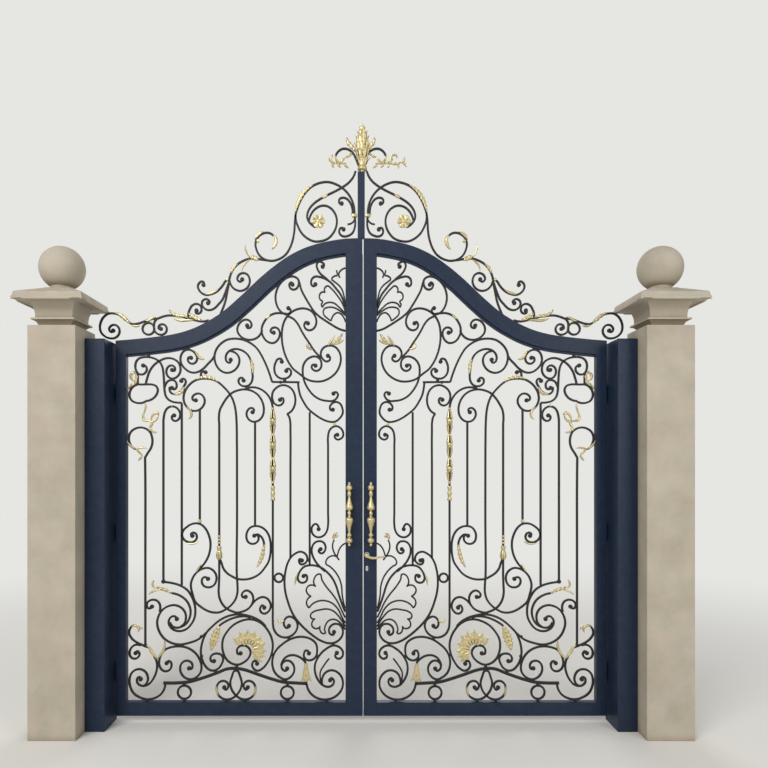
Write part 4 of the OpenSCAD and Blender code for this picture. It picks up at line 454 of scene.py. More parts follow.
LONG_SPRAY = [
    (18, 1, [(180, 3760), (212, 3752), (244, 3752), (274, 3764)]),
    (15, 0, [(262, 3758), (286, 3772), (292, 3796)]),
    (15, 0, [(268, 3762), (292, 3750), (304, 3730)]),
    (14, 0, [(236, 3752), (252, 3734), (250, 3720)]),
    (14, 0, [(200, 3788), (218, 3810), (238, 3806), (240, 3788)]),
]


# Curves of the drawing: arcs with shared tangents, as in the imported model
SPAN_STEPS = 12  # pieces that a span is measured in
MOST_STEPS = 98  # most steps along one curve
WIDEST_BEND = math.radians(170)


def unit(v):
    return v / max(v.length, 1e-9)


def corner(a, b, c):
    """The way that a smooth line runs at b, between a and c."""
    return unit(unit(b - a) * (c - b).length + unit(c - b) * (b - a).length)


def mirrored(t, chord):
    return 2 * t.dot(chord) * chord - t


def tangents(points):
    """Unit tangents at the points of a stroke."""
    if len(points) < 3:
        return [unit(points[1] - points[0])] * 2
    middle = [corner(points[i - 1], points[i], points[i + 1]) for i in range(1, len(points) - 1)]
    first = mirrored(middle[0], unit(points[1] - points[0]))
    last = mirrored(middle[-1], unit(points[-1] - points[-2]))
    return [first] + middle + [last]


def arms(points):
    """For each span, the start, its two handles and the end."""
    lines = tangents(points)
    spans = []
    for i, (start, end) in enumerate(zip(points, points[1:])):
        chord = end - start
        bend = 2 * max(lines[i].angle(chord, 0), lines[i + 1].angle(chord, 0))
        reach = chord.length / math.cos(min(bend, WIDEST_BEND) / 4) ** 2 / 3
        spans.append((start, start + lines[i] * reach, end - lines[i + 1] * reach, end))
    return spans


def along(points, spacing):
    """Evenly spaced places on a stroke's curve, the unit tangents there, and the curve's length."""
    fine = []
    for a, b, c, d in arms(points):
        for k in range(SPAN_STEPS):
            t = k / SPAN_STEPS
            fine.append(a * (1 - t) ** 3 + b * 3 * t * (1 - t) ** 2 + c * 3 * t * t * (1 - t) + d * t ** 3)
    fine.append(points[-1])
    reach = [0.0]
    for before, after in zip(fine, fine[1:]):
        reach.append(reach[-1] + (after - before).length)
    count = min(MOST_STEPS, max(2, round(reach[-1] / spacing)))
    stops = np.linspace(0, reach[-1], count + 1)
    xs = np.interp(stops, reach, [p.x for p in fine])
    ys = np.interp(stops, reach, [p.y for p in fine])
    spots = [Vector(place) for place in zip(xs, ys)]
    lines = [unit(spots[min(i + 1, count)] - spots[max(i - 1, 0)]) for i in range(count + 1)]
    return spots, lines, reach[-1]


# Working with objects as by hand
def only(*pieces):
    """Selects these pieces and nothing else; the first becomes the active one."""
    if bpy.context.object and bpy.context.object.mode != "OBJECT":
        bpy.ops.object.mode_set(mode="OBJECT")
    for other in bpy.context.view_layer.objects:
        other.select_set(False)
    for piece in pieces:
        piece.select_set(True)
    bpy.context.view_layer.objects.active = pieces[0]


def placed(name, data):
    """A new object that shows this mesh or curve."""
    made = bpy.data.objects.new(name, data)
    bpy.context.scene.collection.objects.link(made)
    return made


def joined(pieces, name):
    """Joins pieces into one object of that name."""
    only(*pieces)
    if len(pieces) > 1:
        bpy.ops.object.join()
    made = bpy.context.object
    made.name = made.data.name = name
    return made


def editing(piece, choice="DESELECT", kind="FACE"):
    """Opens a piece in edit mode with nothing selected, or all of it, and returns its edit mesh."""
    only(piece)
    bpy.ops.object.mode_set(mode="EDIT")
    bpy.ops.mesh.select_mode(type=kind)
    bpy.ops.mesh.select_all(action=choice)
    return bmesh.from_edit_mesh(piece.data)


def pick(piece, elements):
    """Selects these faces, edges or vertices of the open piece."""
    for element in elements:
        element.select_set(True)
    bmesh.update_edit_mesh(piece.data)


def done():
    bpy.ops.object.mode_set(mode="OBJECT")


def outward(piece):
    """Turns all faces of a closed piece outward."""
    editing(piece, "SELECT")
    bpy.ops.mesh.normals_make_consistent(inside=False)
    done()


def merged(piece, nearer_than):
    """Merges points that lie closer than this, and faces that lie level."""
    editing(piece, "SELECT")
    bpy.ops.mesh.remove_doubles(threshold=nearer_than)
    bpy.ops.mesh.dissolve_limited(angle_limit=math.radians(1))
    done()


def modified(piece, kind, **options):
    """Adds a modifier with these options and applies it."""
    only(piece)
    extra = piece.modifiers.new(kind.title(), kind)
    for name, value in options.items():
        setattr(extra, name, value)
    bpy.ops.object.modifier_apply(modifier=extra.name)


def smooth(piece, degrees=30):
    only(piece)
    bpy.ops.object.shade_smooth_by_angle(angle=math.radians(degrees))


def copy_of(node, name):
    """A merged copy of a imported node."""
    made = joined([placed(name, frame["nodes"][node].data.copy())], name)
    merged(made, 0.02 * MM)
    return made


def arrised(piece, width, steps=2):
    """Rounds the sharp edges of a piece by width metres."""
    modified(piece, "BEVEL", width=width, segments=steps, limit_method="ANGLE",
             angle_limit=math.radians(40), use_clamp_overlap=False, miter_outer="MITER_ARC")
    smooth(piece)
    modified(piece, "WEIGHTED_NORMAL", keep_sharp=True)


# Settings that a user would change
def linear(hex_colour):
    """An sRGB hex colour as linear values, with full alpha."""
    channels = [int(hex_colour[i:i + 2], 16) / 255 for i in (1, 3, 5)]
    return [c / 12.92 if c <= 0.04045 else ((c + 0.055) / 1.055) ** 2.4 for c in channels] + [1.0]


def length(name, about, value):
    return bpy.props.FloatProperty(name=name, description=about, default=value, unit="LENGTH",
                                   subtype="DISTANCE")


def number(name, about, value, unit="NONE"):
    return bpy.props.FloatProperty(name=name, description=about, default=value, unit=unit)


def tone(name, about, hex_colour):
    return bpy.props.FloatVectorProperty(name=name, description=about, default=linear(hex_colour)[:3],
                                         subtype="COLOR", min=0, max=1)


class IronSettings(bpy.types.PropertyGroup):
    bar: length("Bar width", "Width of the ordinary scroll bars", 14 * MM)
    heavy_bar: length("Heavy bar", "Width of the bowed bar low in each leaf", 20 * MM)
    fine_bar: length("Fine bar", "Width of the finest leaf bars", 10.5 * MM)
    corner: length("Bar corner", "Radius of the bars' long corners", 2.2 * MM)
    snail: length("Snail", "Radius of the solid eye at a scroll's end", 14.2 * MM)
    collar: length("Collar", "Radius of the beads that join two bars", 10.5 * MM)
    colour: tone("Iron", "Colour of the black paint", "#100f12")


class FrameSettings(bpy.types.PropertyGroup):
    arris: length("Arris", "Rounding of the steel frame's edges", 2.5 * MM)
    colour: tone("Paint", "Colour of the frame's satin paint", "#10223a")


class GiltSettings(bpy.types.PropertyGroup):
    relief: length("Relief", "How far gilded leaves stand proud of the bars", 4 * MM)
    bead: length("Bead", "Radius of the beads between husks", 10.5 * MM)
    pitch: length("Husk spacing", "Distance between two husks of the long chain", 160 * MM)
    colour: tone("Gold", "Colour of the gold leaf", "#c9ba8c")
    # Colour of the painted shade that the gilding is darkened towards in its hollows
    shade: tone("Size", "Colour of the gold size that shows in hollows", "#5a4522")
    plate: tone("Key plate", "Colour of the key plate's nickel", "#dfe6e2")


class StoneSettings(bpy.types.PropertyGroup):
    arris: length("Arris", "Rounding of the stone's edges", 3 * MM)
    pale: tone("Pale stone", "Paler colour of the limestone", "#bfb6a5")
    dark: tone("Dark stone", "Darker colour of the limestone", "#aaa18f")


class StageSettings(bpy.types.PropertyGroup):
    eye_height: length("Eye height", "Height of the camera", 1.75)
    distance: length("Distance", "Distance of the camera from the leaves", 4.313)
    lens: number("Lens", "Focal length on a 36 mm sensor", 30.0, "CAMERA")
    shift_x: number("Shift across", "How far the view is moved right, as a share of its width", 0.0297)
    shift_y: number("Shift up", "How far the view is moved up, as a share of its width", 0.1)
    floor: tone("Floor", "Colour of the floor", "#e4e1da")
    surround: tone("Surround", "Colour of the background", "#e6e6e3")
    light: number("Light", "Power of the main soft lamp in watts", 620.0, "POWER")


class GateSettings(bpy.types.PropertyGroup):
    iron: bpy.props.PointerProperty(type=IronSettings)
    frames: bpy.props.PointerProperty(type=FrameSettings)
    gilt: bpy.props.PointerProperty(type=GiltSettings)
    stone: bpy.props.PointerProperty(type=StoneSettings)
    stage: bpy.props.PointerProperty(type=StageSettings)


def settings():
    return bpy.context.scene.gate_settings


# Materials
PAINT = "satin_alkyd_paint_on_steel"
IRON = "black_paint_on_forged_iron"
GOLD = "gold_leaf_on_iron"
NICKEL = "satin_nickel_plate"
STONE = "sawn_limestone"

# Nodes that are added often: colours blended by a share, a value times a factor plus an offset, and
# open ground as 1, falling towards 0 in hollows
MIX = ("Mix", {"data_type": "RGBA"}, "Result_Color")
SCALE = ("Math", {"operation": "MULTIPLY_ADD"})
HOLLOWS = ("AmbientOcclusion", {"samples": 8}, "AO")


def opaque(colour, factor=1.0):
    """A colour made darker or paler by a factor, with full alpha."""
    return [min(1.0, factor * c) for c in colour] + [1.0]


def patches(size_mm):
    """The scale of a pattern whose patches are about size_mm across."""
    return 1000.0 / size_mm


def add(tree, kind, options=None, output=None, **sockets):
    """Adds a shader node with its options, sets or links its sockets, and returns its first output
    or the one asked for. Sockets go by their identifiers, with spaces written as underscores."""
    made = tree.nodes.new("ShaderNode" + kind)
    for name, value in (options or {}).items():
        setattr(made, name, value)
    for name, value in sockets.items():
        socket = next(s for s in made.inputs if s.identifier.replace(" ", "_") == name)
        if isinstance(value, bpy.types.NodeSocket):
            tree.links.new(value, socket)
        else:
            socket.default_value = value
    return next((s for s in made.outputs if output in (None, s.identifier)), None)


def started(name):
    """A new material's empty node tree, and object coordinates in it."""
    material = bpy.data.materials.new(name)
    material.use_nodes = True
    material.node_tree.nodes.clear()
    return material.node_tree, add(material.node_tree, "TexCoord", output="Object")


def satin_paint(given):
    """Satin alkyd paint on rolled steel: brushed by hand, so the gloss wavers over a hand's width,
    with a faint film of dust and a fine sag in the coat."""
    tree, place = started(PAINT)
    drift = add(tree, "TexNoise", Vector=place, Scale=patches(260), Detail=4)
    coat = add(tree, *MIX, Factor_Float=drift, A_Color=opaque(given.colour, 0.86),
               B_Color=opaque(given.colour, 1.16))
    dust = add(tree, "TexNoise", Vector=place, Scale=patches(45), Detail=5, Roughness=0.65)
    film = add(tree, "MapRange", Value=dust, From_Min=0.42, From_Max=0.75, To_Max=0.03)
    coat = add(tree, *MIX, Factor_Float=film, A_Color=coat, B_Color=linear("#8d8f8c"))
    gloss = add(tree, *SCALE, Value=drift, Value_001=0.14, Value_002=0.38)
    sag = add(tree, "TexNoise", Vector=place, Scale=patches(14), Detail=2)
    relief = add(tree, "Bump", Height=sag, Distance=0.5 * MM, Strength=0.25)
    grain = add(tree, "TexNoise", Vector=place, Scale=patches(3.5), Detail=2)
    relief = add(tree, "Bump", Height=grain, Distance=0.12 * MM, Strength=0.35, Normal=relief)
    shader = add(tree, "BsdfPrincipled", Base_Color=coat, Roughness=gloss, IOR=1.42, Normal=relief)
    add(tree, "OutputMaterial", Surface=shader)


def forged_black(given):
    """Black paint over hammered bar: shallow hammer marks about 14 mm across, a little rust-brown
    dust in the corners, satin on the high spots."""
    tree, place = started(IRON)
    drift = add(tree, "TexNoise", Vector=place, Scale=patches(70), Detail=4)
    coat = add(tree, *MIX, Factor_Float=drift, A_Color=opaque(given.colour),
               B_Color=opaque(given.colour, 1.5))
    open_ground = add(tree, *HOLLOWS, Distance=12 * MM)
    rust = add(tree, "MapRange", Value=open_ground, From_Min=0.2, From_Max=0.7, To_Min=0.35, To_Max=0)
    coat = add(tree, *MIX, Factor_Float=rust, A_Color=coat, B_Color=linear("#3a3029"))
    gloss = add(tree, *SCALE, Value=drift, Value_001=0.2, Value_002=0.42)
    marks = add(tree, "TexVoronoi", {"feature": "SMOOTH_F1"}, Vector=place, Scale=patches(14))
    relief = add(tree, "Bump", Height=marks, Distance=0.6 * MM, Strength=0.5)
    shader = add(tree, "BsdfPrincipled", Base_Color=coat, Roughness=gloss, IOR=1.5, Normal=relief)
    add(tree, "OutputMaterial", Surface=shader)


def gilding(given):
    """Gold leaf laid over primed iron: pale and soft-edged, with warm dark painted shade in the hollows,
    black iron showing in the drilled eyes, and deep grooves darkened towards black, partly as the black bar
    seen between leaflets and partly as painted shade."""
    tree, place = started(GOLD)
    drift = add(tree, "TexNoise", Vector=place, Scale=patches(30), Detail=4, Roughness=0.6)
    worn = add(tree, "MapRange", Value=drift, From_Min=0.3, From_Max=0.75)
    leaf = add(tree, *MIX, Factor_Float=worn, A_Color=opaque(given.colour),
               B_Color=opaque(given.colour, 1.25))
    open_ground = add(tree, *HOLLOWS, Distance=14 * MM)
    # Painted shade: the gold is darkened towards the shade colour in its hollows, the more the deeper they
    # are
    size = add(tree, "MapRange", Value=open_ground, From_Min=0.25, From_Max=0.8, To_Min=0.9, To_Max=0)
    leaf = add(tree, *MIX, Factor_Float=size, A_Color=leaf, B_Color=opaque(given.shade))
    # Darkened towards black where points are marked: black iron in the drilled eyes, and in the grooves
    # partly the black bar and partly painted shade
    black_iron_and_shade = add(tree, "Attribute", {"attribute_name": "black_iron_and_shade"}, "Fac")
    iron = add(tree, "MapRange", Value=black_iron_and_shade, From_Min=0.25, From_Max=0.7)
    leaf = add(tree, *MIX, Factor_Float=iron, A_Color=leaf, B_Color=linear("#211d1a"))
    gloss = add(tree, *SCALE, Value=drift, Value_001=0.2, Value_002=0.28)
    creases = add(tree, "TexNoise", Vector=place, Scale=patches(4), Detail=3)
    relief = add(tree, "Bump", Height=creases, Distance=0.25 * MM, Strength=0.5)
    shader = add(tree, "BsdfPrincipled", Base_Color=leaf, Metallic=0.6, Roughness=gloss, Normal=relief)
    add(tree, "OutputMaterial", Surface=shader)


def nickel_plating(given):
    """Satin nickel plating on the key plate: cool and pale beside the gold, rubbed upright with a fine
    grit. The rubbing lines are 0.2 mm apart on a real plate and 1.2 mm here, so that they show."""
    tree, place = started(NICKEL)
    drawn_out = add(tree, "Mapping", Vector=place, Scale=(1.0, 1.0, 0.05))
    lines = add(tree, "TexNoise", Vector=drawn_out, Scale=patches(1.2), Detail=3)
    rubbed = add(tree, "MapRange", Value=lines, From_Min=0.35, From_Max=0.65, To_Max=0.25)
    plate = add(tree, *MIX, Factor_Float=rubbed, A_Color=opaque(given.plate),
                B_Color=opaque(given.plate, 0.8))
    # The plate is darkened towards dark grey in its hollows, the more the deeper they are
    open_ground = add(tree, *HOLLOWS, Distance=5 * MM)
    hollow_darkening = add(tree, "MapRange", Value=open_ground, From_Min=0.2, From_Max=0.7, To_Min=0.9, To_Max=0)
    plate = add(tree, *MIX, Factor_Float=hollow_darkening, A_Color=plate, B_Color=linear("#34383a"))
    gloss = add(tree, *SCALE, Value=lines, Value_001=0.12, Value_002=0.26)
    relief = add(tree, "Bump", Height=lines, Distance=0.03 * MM, Strength=0.4)
    shader = add(tree, "BsdfPrincipled", Base_Color=plate, Metallic=0.6, Roughness=gloss, Normal=relief)
    add(tree, "OutputMaterial", Surface=shader)


def limestone(given):
    """Fine sawn limestone: soft mottling a hand across, sparse pits, saw-fine grain, and brown painted shade
    that gathers under the cap's mouldings and in other hollows."""
    tree, place = started(STONE)
    clouds = add(tree, "TexNoise", Vector=place, Scale=patches(190), Detail=6, Roughness=0.6)
    mottled = add(tree, "MapRange", Value=clouds, From_Min=0.3, From_Max=0.7)
    stone = add(tree, *MIX, Factor_Float=mottled, A_Color=opaque(given.dark), B_Color=opaque(given.pale))
    tint = add(tree, "TexNoise", Vector=place, Scale=patches(90), Detail=3)
    warm = add(tree, "MapRange", Value=tint, From_Min=0.45, From_Max=0.8, To_Max=0.35)
    stone = add(tree, *MIX, Factor_Float=warm, A_Color=stone, B_Color=linear("#cdb59c"))
    cool = add(tree, "MapRange", Value=tint, From_Min=0.2, From_Max=0.45, To_Min=0.3, To_Max=0)
    stone = add(tree, *MIX, Factor_Float=cool, A_Color=stone, B_Color=linear("#b3b49a"))
    grain = add(tree, "TexNoise", Vector=place, Scale=patches(5), Detail=4, Roughness=0.7)
    specks = add(tree, *SCALE, Value=grain, Value_001=0.25, Value_002=0)
    stone = add(tree, *MIX, Factor_Float=specks, A_Color=stone, B_Color=opaque(given.dark, 0.72))
    # Painted shade: the stone is darkened towards brown in its hollows, most under the cap's mouldings
    open_ground = add(tree, *HOLLOWS, Distance=70 * MM)
    painted_hollow_shade = add(tree, "MapRange", Value=open_ground, From_Min=0.2, From_Max=0.85, To_Min=0.75, To_Max=0)
    stone = add(tree, *MIX, Factor_Float=painted_hollow_shade, A_Color=stone, B_Color=linear("#7d6a4c"))
    pits = add(tree, "TexVoronoi", {"feature": "F1"}, Vector=place, Scale=patches(26))
    pitted = add(tree, "MapRange", Value=pits, From_Min=0, From_Max=0.12)
    relief = add(tree, "Bump", Height=pitted, Distance=1.2 * MM, Strength=0.5)
    relief = add(tree, "Bump", Height=grain, Distance=0.8 * MM, Strength=0.45, Normal=relief)
    shader = add(tree, "BsdfPrincipled", Base_Color=stone, Roughness=0.86, IOR=1.5, Normal=relief)
    add(tree, "OutputMaterial", Surface=shader)


# Metres from the gate where the floor starts to fade, and where it has faded
FLOOR_PLAIN, FLOOR_GONE = 1.8, 8.0


def fading_floor(given):
    """Matt studio floor that passes into the surround's colour a few metres from the gate."""
    tree, place = started("matt_pale_floor")
    reach = add(tree, "VectorMath", {"operation": "LENGTH"}, "Value", Vector=place)
    away = add(tree, "MapRange", {"interpolation_type": "SMOOTHSTEP"}, Value=reach, From_Min=FLOOR_PLAIN,
               From_Max=FLOOR_GONE)
    seen = add(tree, "LightPath", output="Is Camera Ray")
    share = add(tree, "Math", {"operation": "MULTIPLY"}, Value=away, Value_001=seen)
    near = add(tree, "BsdfPrincipled", Base_Color=opaque(given.floor), Roughness=0.9)
    far = add(tree, "Emission", Color=opaque(given.surround), Strength=1.0)
    both = add(tree, "MixShader", Fac=share, Shader=near, Shader_001=far)
    add(tree, "OutputMaterial", Surface=both)


# Each finish: what makes it, the settings that it reads, and the record's slot
FINISHES = {
    PAINT: (satin_paint, "frames", "dark_painted_steel"),
    IRON: (forged_black, "iron", "black_wrought_iron"),
    GOLD: (gilding, "gilt", "gilded_metal"),
    NICKEL: (nickel_plating, "gilt", "gilded_metal"),
    STONE: (limestone, "stone", "stone"),
}


def finish(piece, name, body, *nodes):
    """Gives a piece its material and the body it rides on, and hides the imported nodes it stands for."""
    make, group, slot = FINISHES[name]
    if name not in bpy.data.materials:
        make(getattr(settings(), group))
    only(piece)
    bpy.ops.object.transform_apply(location=True, rotation=True, scale=True)
    piece.data.materials.clear()
    piece.data.materials.append(bpy.data.materials[name])
    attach(piece, body)
    if nodes:
        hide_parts(*nodes)


# Forged bars
BAR_DETAIL = 4  # steps between two points of a stroke
HOOK_DETAIL = 6
QUARTER_REACH = 0.5523  # handle length for a quarter circle of radius 1
RUNS = 3  # runs that the bars of one width are swept in
HAIR = 0.15 * MM  # by which each run is thinner than the one before


def section(width, depth, radius):
    """A rounded rectangle, drawn as a closed curve: the cross-section of a bar."""
    curve = bpy.data.curves.new("section", "CURVE")
    spline = curve.splines.new("POLY")
    corners = []
    for sx, sy, start in ((1, 1, 0), (-1, 1, 90), (-1, -1, 180), (1, -1, 270)):
        for turn in (0, 45, 90):
            a = math.radians(start + turn)
            corners.append((sx * (width / 2 - radius) + radius * math.cos(a),
                            sy * (depth / 2 - radius) + radius * math.sin(a)))
    spline.points.add(len(corners) - 1)
    for point, (x, y) in zip(spline.points, corners):
        point.co = (x, y, 0, 1)
    spline.use_cyclic_u = True
    return placed("section", curve)


def stroke_knots(points):
    """Each point of a stroke with the handles before and after it."""
    spans = arms(points)
    before = [points[0] * 2 - spans[0][1]] + [span[2] for span in spans]
    after = [span[1] for span in spans] + [points[-1] * 2 - spans[-1][2]]
    return list(zip(points, before, after))


def ring_knots(centre, radius):
    """The four points of a circle with their handles."""
    knots = []
    for quarter in range(4):
        a = math.pi / 2 * quarter
        out, run = Vector((math.cos(a), math.sin(a))), Vector((-math.sin(a), math.cos(a)))
        at = centre + out * radius
        knots.append((at, at - run * radius * QUARTER_REACH, at + run * radius * QUARTER_REACH))
    return knots


def swept(strokes, rings, size, detail):
    """Bars of one size, (width, thickness): strokes and rings as a flat curve, given the section."""
    profile = section(*size, settings().iron.corner)
    curve = bpy.data.curves.new("bars", "CURVE")
    curve.dimensions = "2D"
    curve.fill_mode = "NONE"
    curve.bevel_mode = "OBJECT"
    curve.bevel_object = profile
    curve.use_fill_caps = True
    curve.resolution_u = detail
    lines = [(stroke_knots(points), False) for points in strokes]
    lines += [(ring_knots(centre, radius), True) for centre, radius in rings]
    for knots, closed in lines:
        spline = curve.splines.new("BEZIER")
        spline.bezier_points.add(len(knots) - 1)
        spline.use_cyclic_u = closed
        for point, (at, before, after) in zip(spline.bezier_points, knots):
            point.handle_left_type = point.handle_right_type = "FREE"
            point.co = at.to_3d()
            point.handle_left = before.to_3d()
            point.handle_right = after.to_3d()
    only(placed("bars", curve))
    bpy.ops.object.convert(target="MESH")
    bpy.data.objects.remove(profile)
    return bpy.context.object


def stood(pieces, name):
    """Joins flat pieces and turns them upright, in the leaves' middle plane."""
    made = joined(pieces, name)
    made.data.transform(Matrix.Translation((GATE_X, LEAF_Y, 0)) @ Matrix.Rotation(math.pi / 2, 4, "X"))
    made.data.update()
    return made


def buttons(places, radius, thickness, crown):
    """Flat round bosses with softened rims, lying flat: the eyes of scrolls, or weld beads."""
    bpy.ops.mesh.primitive_cylinder_add(vertices=20, radius=radius, depth=thickness, location=(0, 0, 0))
    pattern = bpy.context.object
    mesh = editing(pattern)
    pick(pattern, [face for face in mesh.faces if abs(face.normal.z) > 0.9])
    bpy.ops.mesh.inset(thickness=radius * 0.35)
    done()
    for vertex in pattern.data.vertices:
        if math.hypot(vertex.co.x, vertex.co.y) < radius * 0.8:
            vertex.co.z += math.copysign(crown, vertex.co.z)
    modified(pattern, "BEVEL", width=radius * 0.16, segments=2, limit_method="ANGLE",
             angle_limit=math.radians(50))
    copies = []
    for place in places:
        made = placed("button", pattern.data.copy())
        made.data.transform(Matrix.Translation(place.to_3d()))
        copies.append(made)
    bpy.data.objects.remove(pattern)
    return copies


def ironwork(name, strokes, circles=(), beads=()):
    """One panel of scrolls: its bars in their three widths, eyes at their ends and weld beads."""
    given = settings().iron
    thickness = 2 * BAR_HALF
    rings = [(drawn((u, z)), radius * MM) for u, z, radius in circles]
    parts = []
    for kind, width in enumerate((given.bar, given.heavy_bar, given.fine_bar)):
        chosen = [[drawn(p) for p in points] for bar, _, _, points in strokes if bar == kind]
        # bars are dealt out to runs of slightly different thickness, so that few crossing faces coincide
        for turn in range(RUNS):
            share = chosen[turn::RUNS]
            if share:
                own_rings = rings if kind == turn == 0 else []
                parts.append(swept(share, own_rings, (width, thickness - HAIR * turn), BAR_DETAIL))
    ends = [points[k] for _, *eyes, points in strokes for k, eye in zip((0, -1), eyes) if eye]
    parts += buttons([drawn(p) for p in ends], given.snail, thickness + 0.6 * MM, 1.2 * MM)
    if beads:
        parts += buttons([drawn(p) for p in beads], given.collar, thickness + 0.3 * MM, 0.6 * MM)
    made = stood(parts, name)
    outward(made)
    smooth(made, 40)
    return made


# Gilded leaves
LEAF_STEP = 3.4 * MM  # between two rings of a leaf's skin
LEAF_SIDES = 24
LOBE = 30 * MM  # length of one lobe of a scalloped edge
EYE = 3.6 * MM  # radius of a drilled eye
EYED_FROM, EYED_TO = 0.08, 0.92  # shares of a leaf's length between which its eyes lie
FULL_RELIEF_HALF = 9 * MM  # half width from which a leaf has its full relief
LEAST_RELIEF = 0.45  # share of the relief that the narrowest leaf keeps
RIDGES = 3.5  # waves in the relief of a leaf, from edge to edge
RIDGE_DEPTH, NOTCH_DEPTH, EYE_DEPTH = 0.16, 0.20, 0.45  # as shares of the relief
SCALLOP_TOP, SCALLOP_DEPTH = 1.06, 0.30  # as shares of the half width


def half_share(kind, t):
    """Share of its half width that a leaf of this kind has at share t of its length."""
    if kind == "leaf":
        return math.sin(math.pi * min(max(t, 0.03), 0.97)) ** 0.6
    if kind == "point":
        return min(0.75 + 0.8 * t, 1) * (0.03 + 0.97 * (1 - max(0, (t - 0.3) / 0.7)) ** 1.2)
    if kind == "petal":
        return (0.35 + 0.65 * t) * (1 - max(0, (t - 0.72) / 0.28) ** 2.6 * 0.85)
    if kind == "arm":
        return (1 - 0.35 * t) * math.sqrt(max(0.02, 1 - max(0, (t - 0.93) / 0.07) ** 2))
    return 1.0


def leaf(points, width, lobed, proud, kind="leaf", eyes=0):
    """A leaf beaten round a bar: a long closed skin, ridged down the middle, with scalloped edges
    and drilled eyes, laid along the curve of a stroke."""
    spots, lines, run = along(points, LEAF_STEP)
    last = len(spots) - 1
    bpy.ops.mesh.primitive_cylinder_add(vertices=LEAF_SIDES, radius=1, depth=last, end_fill_type="NGON",
                                        location=(0, 0, 0))
    made = bpy.context.object
    mesh = editing(made, kind="EDGE")
    pick(made, [edge for edge in mesh.edges if abs(edge.verts[0].co.z - edge.verts[1].co.z) > 0.5])
    bpy.ops.mesh.subdivide(number_cuts=last - 1, quadcorner="INNERVERT")
    done()
    lobes = max(1, round(run / LOBE))
    dark = []
    for vertex in made.data.vertices:
        k = min(last, max(0, round(vertex.co.z + last / 2)))
        across, lift = vertex.co.x, vertex.co.y
        t = k / last
        wave = abs(math.cos(math.pi * t * lobes))
        half = width / 2 * half_share(kind, t)
        if lobed:
            half *= SCALLOP_TOP - SCALLOP_DEPTH * wave ** 2
        body = proud * (LEAST_RELIEF + (1 - LEAST_RELIEF) * min(1, half / FULL_RELIEF_HALF))
        rise = math.copysign(abs(lift) ** (0.9 if kind == "arm" else 1.15), lift) * body
        if kind != "arm":
            rise *= 1 - RIDGE_DEPTH * (1 - abs(math.cos(RIDGES * math.acos(max(-1, min(1, across))))))
        if lobed:
            rise *= 1 - NOTCH_DEPTH * wave ** 4
        eye = 0.0
        if eyes and EYED_FROM < t < EYED_TO:
            spot = 0.66 if kind in ("petal", "point") else (math.floor(t * eyes) + 0.5) / eyes
            near = math.hypot((t - spot) * run, across * half) / EYE
            eye = max(0.0, 1 - near ** 2)
            rise *= 1 - EYE_DEPTH * eye
        dark.append(min(1.0, 1.6 * eye))
        at = spots[k] + Vector((-lines[k].y, lines[k].x)) * across * half
        vertex.co = (at.x, at.y, rise)
    blacken(made, dark)
    outward(made)
    return made


def frond(outline, width, lobed, thick, cupped):
    """A leaf that stands upright and bends outward: outline is its middle line as (distance from
    the axis, height); cupped is the radius that its width wraps round."""
    spots, lines, run = along([Vector(p) for p in outline], LEAF_STEP)
    made = leaf([Vector((0, run * k / 3)) for k in range(4)], width, lobed, thick, "petal")
    last = len(spots) - 1
    for vertex in made.data.vertices:
        k = min(last, max(0, vertex.co.y / run * last))
        low = int(k)
        high = min(low + 1, last)
        spot = spots[low].lerp(spots[high], k - low)
        line = lines[low].lerp(lines[high], k - low)
        angle = vertex.co.x / cupped
        reach = spot.x + line.y * vertex.co.z - cupped * (1 - math.cos(angle))
        vertex.co = (reach, cupped * math.sin(angle), spot.y - line.x * vertex.co.z)
    return made


def turned(outline, steps=24):
    """A round piece from a profile of (radius, height), standing on the local Z axis."""
    mesh = bpy.data.meshes.new("turned")
    mesh.from_pydata([(r, 0, h) for r, h in outline], [(i, i + 1) for i in range(len(outline) - 1)], [])
    made = placed("turned", mesh)
    editing(made, "SELECT", "VERT")
    bpy.ops.mesh.spin(steps=steps, angle=2 * math.pi, center=(0, 0, 0), axis=(0, 0, 1))
    bpy.ops.mesh.select_all(action="SELECT")
    bpy.ops.mesh.remove_doubles(threshold=0.01 * MM)
    bpy.ops.mesh.normals_make_consistent(inside=False)
    done()
    return made


def blacken(piece, darkness):
    """Notes, point by point, how far the gilding is darkened towards black: black iron in drilled eyes, and
    in the grooves of the husks and the finial's core partly the black bar and partly painted shade.
    """
    layer = piece.data.attributes.new("black_iron_and_shade", "FLOAT", "POINT")
    layer.data.foreach_set("value", darkness)


def rounded(profile, spacing=1.6 * MM):
    """A turned profile in millimetres, its corners eased into curves."""
    spots, _, _ = along([Vector((r * MM, h * MM)) for r, h in profile], spacing)
    spots[0].x = spots[-1].x = 0.0
    return [(max(p.x, 0.0), p.y) for p in spots]


def aimed(piece):
    """Tips a piece that stands on local Z so that it points at the viewer."""
    piece.data.transform(Matrix.Rotation(math.pi / 2, 4, "X"))
    return piece


def moved(piece, x, y, z):
    piece.data.transform(Matrix.Translation((x, y, z)))
    return piece


def twin(piece, name):
    """The mirror image of a piece about the gate's middle, with its own mesh."""
    made = placed(name, piece.data.copy())
    made.data.name = name
    made.data.transform(Matrix.Translation((2 * GATE_X, 0, 0)) @ Matrix.Scale(-1, 4, (1, 0, 0)))
    editing(made, "SELECT")
    bpy.ops.mesh.flip_normals()
    done()
    return made


def both_sides(piece, name, material_name, *nodes):
    """Finishes the right-hand piece and its twin on the left."""
    other = twin(piece, "left_" + name)
    for made, side in ((piece, "right"), (other, "left")):
        finish(made, material_name, side + "_leaf", *[side + "_" + node for node in nodes])


